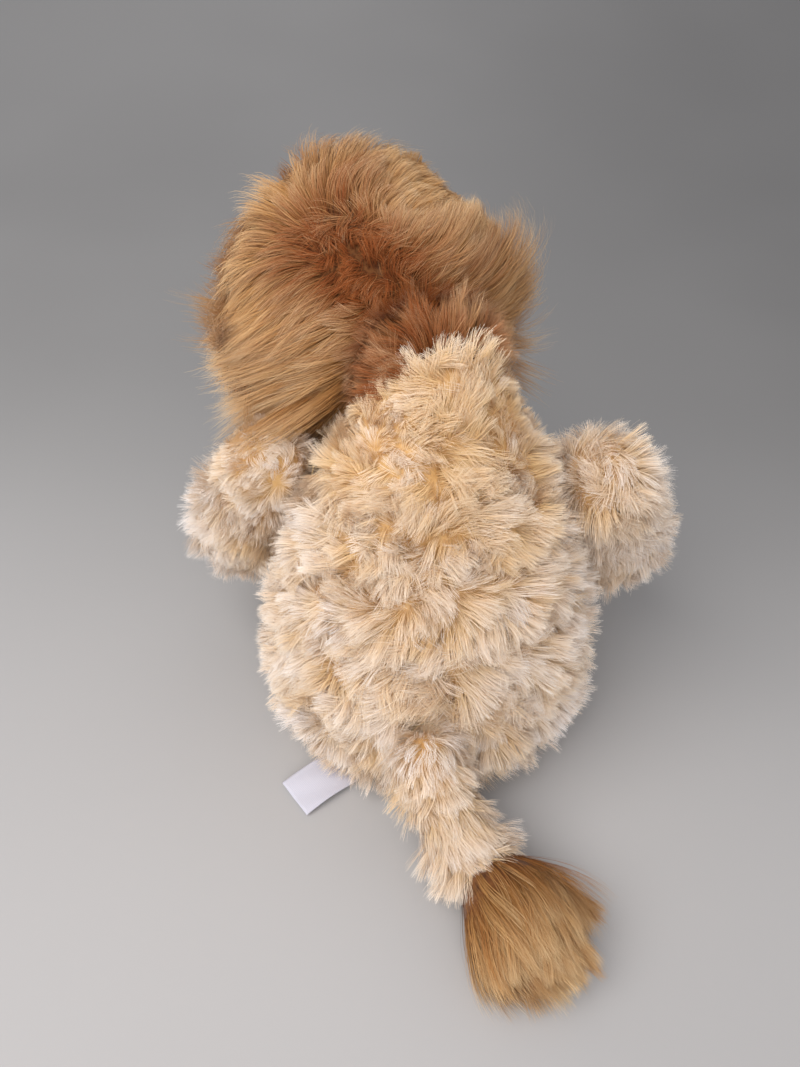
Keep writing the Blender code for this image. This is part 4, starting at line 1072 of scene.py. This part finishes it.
    # Face and muzzle: short pile.
    dirs = head_grid(face_in, (FRONT, UP, FACE_EDGE_DEG + 3.0, 1), 0, 360, 40, 140)
    p, n = scatter(head_point(dirs, 1.2), 1.7, RNG)
    keep = np.ones(len(p), bool)
    for turn in (33.0, -33.0):
        e = head_point(circle_of(MUZZLE, UP, 35.0, [math.radians(turn)]))[0]
        keep &= np.linalg.norm(p - e, axis=1) > 5.6
    p, n = p[keep], n[keep]
    away = unit(p - HEAD_CENTRE) - MUZZLE
    comb = unit(away - n * (away * n).sum(1, keepdims=True))
    tone = 0.55 + 0.12 * Waves(61, 30, 1)(p)[:, 0]
    groups = (((p - HEAD_CENTRE) @ LEFT) < 0).astype(int)
    short = dict(
        big=5.0, small=2.0, big_pull=0.15, small_pull=0.3, big_turn=0.25, big_lift=0.14,
        small_turn=0.15, small_lift=0.1, stray=0.1, droop=0.05, curl=0.1, width=0.34, steps=3,
        noise_scale=25, noise_turn=0.25,
    )
    pile_objects(
        ["face_pile_left", "face_pile_right"], p, n, comb, groups, [MAT["face"]] * 2, "head", RNG,
        length=6.0, lean=55, tone=tone, seed=61, **short,
    )
    turns = np.linspace(0, TAU, 120)
    dirs = np.asarray([circle_of(MUZZLE, UP, a, turns) for a in np.linspace(0.3, MUZZLE_EDGE_DEG, 40)])
    p, n = scatter(head_point(dirs, 1.2), 1.9, RNG)
    away = unit(p - HEAD_CENTRE) - MUZZLE - 0.05 * UP
    comb = unit(away - n * (away * n).sum(1, keepdims=True))
    tone = 0.6 + 0.1 * Waves(62, 30, 1)(p)[:, 0]
    pile_objects(
        ["muzzle_pile"], p, n, comb, np.zeros(len(p), int), [MAT["muzzle"]], "head", RNG,
        length=4.6, lean=58, tone=tone, seed=62, **short,
    )


def ears():
    for side, turn in (("left", EAR_SPREAD_DEG), ("right", -EAR_SPREAD_DEG)):
        out = circle_of(FRONT, UP, EAR_BACK_DEG, [math.radians(turn)])[0]
        facing = unit(FRONT - out * (FRONT @ out))
        wide = np.cross(out, facing)
        foot = HEAD_CENTRE + out * (float(head_radius(out[None])[0]) + 7.0 + 1.6)

        def ear_grid(depth, shrink, rows=24, cols=25):
            grid = []
            for s in np.linspace(0, 0.985, rows):
                h = s * EAR_H * shrink
                if s > 0.42:
                    w = EAR_W * shrink * math.sqrt(max(0.0, 1 - ((s - 0.42) / 0.58) ** 2))
                else:
                    w = EAR_W * shrink * (0.74 + 0.26 * s / 0.42)
                v = np.linspace(-1, 1, cols)[:, None]
                cup = 5.0 * (w * v / EAR_W) ** 2 * min(1.0, s * 2.5) + 2.0 * s
                edge = -0.9 * (np.abs(v) ** 6) - 0.9 * s**8
                grid.append(foot + out * h + wide * w * v + facing * (depth + cup + edge))
            return np.asarray(grid)

        back = sheet_solid(f"ear_outer_cloth_{side}", ear_grid(-0.2, 1.0), ear_grid(-2.6, 1.0), MAT["mane_base"])
        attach(back, f"ear_{side}")
        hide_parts(f"ear_outer_{side}")
        inside = sheet_solid(f"ear_inner_cloth_{side}", ear_grid(2.4, 0.9), ear_grid(0.2, 0.9), MAT["ear_inside"])
        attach(inside, f"ear_{side}")
        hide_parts(f"ear_inner_{side}")
        p, n = scatter(ear_grid(-2.6, 1.0), 3.4, RNG)
        n = np.where(((n @ facing) > 0)[:, None], -n, n)
        comb = np.tile(out, (len(p), 1))
        comb = unit(comb - n * (comb * n).sum(1, keepdims=True))
        tone = 0.55 + 0.1 * Waves(63, 20, 1)(p)[:, 0]
        pile_objects(
            [f"ear_outer_pile_{side}"], p, n, comb, np.zeros(len(p), int), [MAT["ear"]],
            f"ear_{side}", RNG, length=8.0, lean=60, droop=0.0, big=5.0, small=2.2, stray=0.1,
            big_pull=0.1, small_pull=0.25, big_turn=0.12, big_lift=0.08, small_turn=0.1, small_lift=0.06,
            curl=0.1, width=0.34, steps=3, tone=tone, seed=64, noise_scale=20, noise_turn=0.2,
        )


# ---------------------------------------------------------------- hard and small pieces
def refine(node, name, material, body, levels=2, lump=0.0, seed=5, scale=14.0, pull=0.0):
    """A smoother copy of a CAD node that stands for it, lumpy if asked."""
    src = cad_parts[node]
    mesh = src.data.copy()
    mesh.name = name
    obj = bpy.data.objects.new(name, mesh)
    bpy.context.scene.collection.objects.link(obj)
    bm = bmesh.new()
    bm.from_mesh(mesh)
    bmesh.ops.remove_doubles(bm, verts=bm.verts, dist=2e-6)
    bmesh.ops.recalc_face_normals(bm, faces=bm.faces)
    bm.to_mesh(mesh)
    bm.free()
    if levels:
        mod = obj.modifiers.new("Smooth", "SUBSURF")
        mod.levels = mod.render_levels = levels
        dg = bpy.context.evaluated_depsgraph_get()
        done = bpy.data.meshes.new_from_object(obj.evaluated_get(dg))
        obj.modifiers.clear()
        obj.data = done
        mesh = done
    if lump:
        co = np.empty(len(mesh.vertices) * 3, np.float32)
        no = np.empty(len(mesh.vertices) * 3, np.float32)
        mesh.vertices.foreach_get("co", co)
        mesh.vertices.foreach_get("normal", no)
        co, no = co.reshape(-1, 3), no.reshape(-1, 3)
        w = Waves(seed, scale, 1)(co / MM)[:, 0]
        co = co - no * ((np.clip(w * 0.5 + 0.5, 0, 1) * lump + pull) * MM)[:, None]
        mesh.vertices.foreach_set("co", co.astype(np.float32).ravel())
        mesh.update()
    mesh.materials.clear()
    mesh.materials.append(material)
    mesh.polygons.foreach_set("use_smooth", np.ones(len(mesh.polygons), bool))
    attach(obj, body)
    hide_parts(node)
    return obj


def small_pieces():
    for node, body in (
        ("torso_stuffing", "torso"), ("neck_stuffing", "neck_ball"), ("head_stuffing", "head"),
        ("tail_stuffing", "tail"), ("arm_stuffing_left", "arm_left"),
        ("arm_stuffing_right", "arm_right"), ("leg_stuffing_left", "leg_left"),
        ("leg_stuffing_right", "leg_right"),
    ):
        fill = refine(node, f"{node}_fibre", MAT["fill"], body, 2, lump=1.6, seed=70, scale=16)
    pouch = refine("pellet_pouch", "pellet_pouch_cloth", MAT["seat"], "torso", 0)
    refine("pellet_fill", "pellet_heap", MAT["fill"], "torso", 1, lump=0.5, seed=71, scale=5)
    seat = refine("seat_gusset", "seat_gusset_cloth", MAT["seat"], "torso", 0)
    for side in ("left", "right"):
        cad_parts[f"eye_{side}"].data.materials.clear()
        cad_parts[f"eye_{side}"].data.materials.append(MAT["eye"])
        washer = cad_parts[f"eye_washer_{side}"]
        washer.data.materials.clear()
        washer.data.materials.append(MAT["fill"])
        sole = refine(f"sole_pad_{side}", f"sole_pad_velour_{side}", MAT["sole"], f"leg_{side}", 2)
        for node in (f"shoulder_stitching_{side}", f"hip_stitching_{side}"):
            refine(node, f"{node}_thread", MAT["thread"], node.replace("_stitching", ""), 1)
    refine("tail_stitching", "tail_stitching_thread", MAT["thread"], "tail_root", 1)
    refine("neck_ladder_stitch", "neck_stitch_thread", MAT["thread"], "neck_stitch", 1)
    nose = refine("nose", "nose_velour", MAT["nose"], "head", 2)
    refine("mouth_stitching", "mouth_thread", MAT["mouth"], "head", 2)


def label():
    """A folded satin ribbon, bare, with a soft sag and a folded outer edge."""
    root, end = np.asarray(LABEL_ROOT), np.asarray(LABEL_END)
    way = unit(end - root)
    wide = unit(np.cross((0, 0, 1.0), way))
    up = np.cross(way, wide)
    length = np.linalg.norm(end - root)
    rows, cols = 40, 24
    top, low = [], []
    for s in np.linspace(0, 1, rows):
        v = np.linspace(-0.5, 0.5, cols)
        rise = 1.6 * math.sin(math.pi * s) + 0.25 * np.sin(v * 9 + s * 5)
        half = 0.42 * min(1.0, math.sqrt(max(0.0, 1 - max(0.0, (s - 0.97) / 0.03) ** 2)) + 0.05)
        base = root + way * (length * s) + wide * LABEL_W * v[:, None] + up * (0.42 + rise)[:, None]
        top.append(base + up * half)
        low.append(base - up * half)
    ribbon = sheet_solid("seam_label_ribbon", np.asarray(top), np.asarray(low), MAT["satin"])
    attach(ribbon, "label")
    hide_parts("seam_label")


# ---------------------------------------------------------------- stage
def stage():
    mat, tree, shader = new_material("Pale studio floor", 0.9)
    coord = tree.nodes.new("ShaderNodeTexCoord")
    noise = tree.nodes.new("ShaderNodeTexNoise")
    noise.inputs["Scale"].default_value = 2.0
    tree.links.new(coord.outputs["Object"], noise.inputs["Vector"])
    r = ramp(tree, [(0.3, "#F6F6F6"), (0.7, "#FFFFFF")])
    tree.links.new(noise.outputs["Fac"], r.inputs["Fac"])
    # painted light falloff: the paper is painted darker away from the lion
    split = tree.nodes.new("ShaderNodeSeparateXYZ")
    tree.links.new(coord.outputs["Object"], split.inputs[0])
    span = tree.nodes.new("ShaderNodeMapRange")
    span.inputs["From Min"].default_value = 0.15
    span.inputs["From Max"].default_value = -1.9
    tree.links.new(split.outputs["Y"], span.inputs["Value"])
    painted_falloff_ramp = ramp(tree, [(0.0, "#C0BDBC"), (0.25, "#9A9897"), (1.0, "#9A9897")])
    tree.links.new(span.outputs["Result"], painted_falloff_ramp.inputs["Fac"])
    # and painted shade, darker to the lion's right
    across = tree.nodes.new("ShaderNodeMapRange")
    across.inputs["From Min"].default_value = 0.25
    across.inputs["From Max"].default_value = -0.6
    tree.links.new(split.outputs["X"], across.inputs["Value"])
    painted_shade_ramp = ramp(tree, [(0.0, "#FFFFFF"), (1.0, "#E2E2E2")])
    tree.links.new(across.outputs["Result"], painted_shade_ramp.inputs["Fac"])
    last = r.outputs["Color"]
    for other in (painted_falloff_ramp, painted_shade_ramp):
        mix = tree.nodes.new("ShaderNodeMix")
        mix.data_type = "RGBA"
        mix.blend_type = "MULTIPLY"
        mix.inputs["Factor"].default_value = 1.0
        tree.links.new(other.outputs["Color"], mix.inputs[6])
        tree.links.new(last, mix.inputs[7])
        last = mix.outputs[2]
    tree.links.new(last, shader.inputs["Base Color"])
    # a sweep: flat floor that rises gently far behind the lion
    rows = []
    for y in np.linspace(5000, -3200, 110):
        t = max(0.0, (-350 - y) / 2000)
        rows.append([(x, y, 1300 * t**3) for x in (-9000, -3500, 0, 3500, 9000)])
    grid = np.asarray(rows, float)
    floor = mesh_from("floor", grid.reshape(-1, 3), grid_faces(*grid.shape[:2])[:, ::-1], material=mat)


def light(name, pos, target, size, power, colour=(1, 1, 1)):
    data = bpy.data.lights.new(name, "AREA")
    data.shape = "DISK"
    data.size = size
    data.energy = power
    data.color = colour
    obj = bpy.data.objects.new(name, data)
    bpy.context.scene.collection.objects.link(obj)
    obj.location = Vector(pos)
    obj.rotation_mode = "QUATERNION"
    obj.rotation_quaternion = (Vector(target) - Vector(pos)).to_track_quat("-Z", "Y")
    return obj


def camera():
    pitch, roll = math.radians(40.0), math.radians(2.0)
    d = Vector((0, -math.cos(pitch), -math.sin(pitch)))
    r = Vector((-1, 0, 0))
    u = r.cross(d)
    r2 = r * math.cos(roll) + u * math.sin(roll)
    u2 = u * math.cos(roll) - r * math.sin(roll)
    data = bpy.data.cameras.new("camera")
    data.sensor_width = 36.0
    data.lens = 800.0 / 1067.0 * 36.0
    data.clip_start, data.clip_end = 0.01, 20
    cam = bpy.data.objects.new("camera", data)
    bpy.context.scene.collection.objects.link(cam)
    m = Matrix((
        (r2.x, u2.x, -d.x, 0.0157), (r2.y, u2.y, -d.y, 0.300), (r2.z, u2.z, -d.z, 0.370), (0, 0, 0, 1),
    ))
    cam.matrix_world = m
    bpy.context.scene.camera = cam


def build():
    for side, mirror in (("left", 1.0), ("right", -1.0)):
        limb_coat("arm", side, mirror, ARM_ROOT, ARM_TIP, ARM_R, (mirror * 1.0, 0.25, 0.35), f"arm_{side}", 15.5)
        limb_coat("leg", side, mirror, LEG_ROOT, LEG_TIP, LEG_R, (0.0, 0.0, 1.0), f"leg_{side}", 17.0)
    torso_coat()
    tail_coat()
    head_coat()
    ears()
    small_pieces()
    label()
    stage()
    camera()
    light("key", (0.75, 0.65, 1.35), (0, 0, 0.1), 1.5, 19.5, (1.0, 0.985, 0.965))
    light("front", (-0.1, 1.5, 1.0), (0, 0, 0.1), 1.3, 9.2, (1.0, 0.985, 0.975))
    world = bpy.data.worlds.new("World")
    bpy.context.scene.world = world
    world.use_nodes = True
    bg = world.node_tree.nodes["Background"]
    bg.inputs["Color"].default_value = (0.93, 0.95, 1.0, 1)
    bg.inputs["Strength"].default_value = 0.6
    bpy.context.scene.view_settings.view_transform = "Standard"


build()
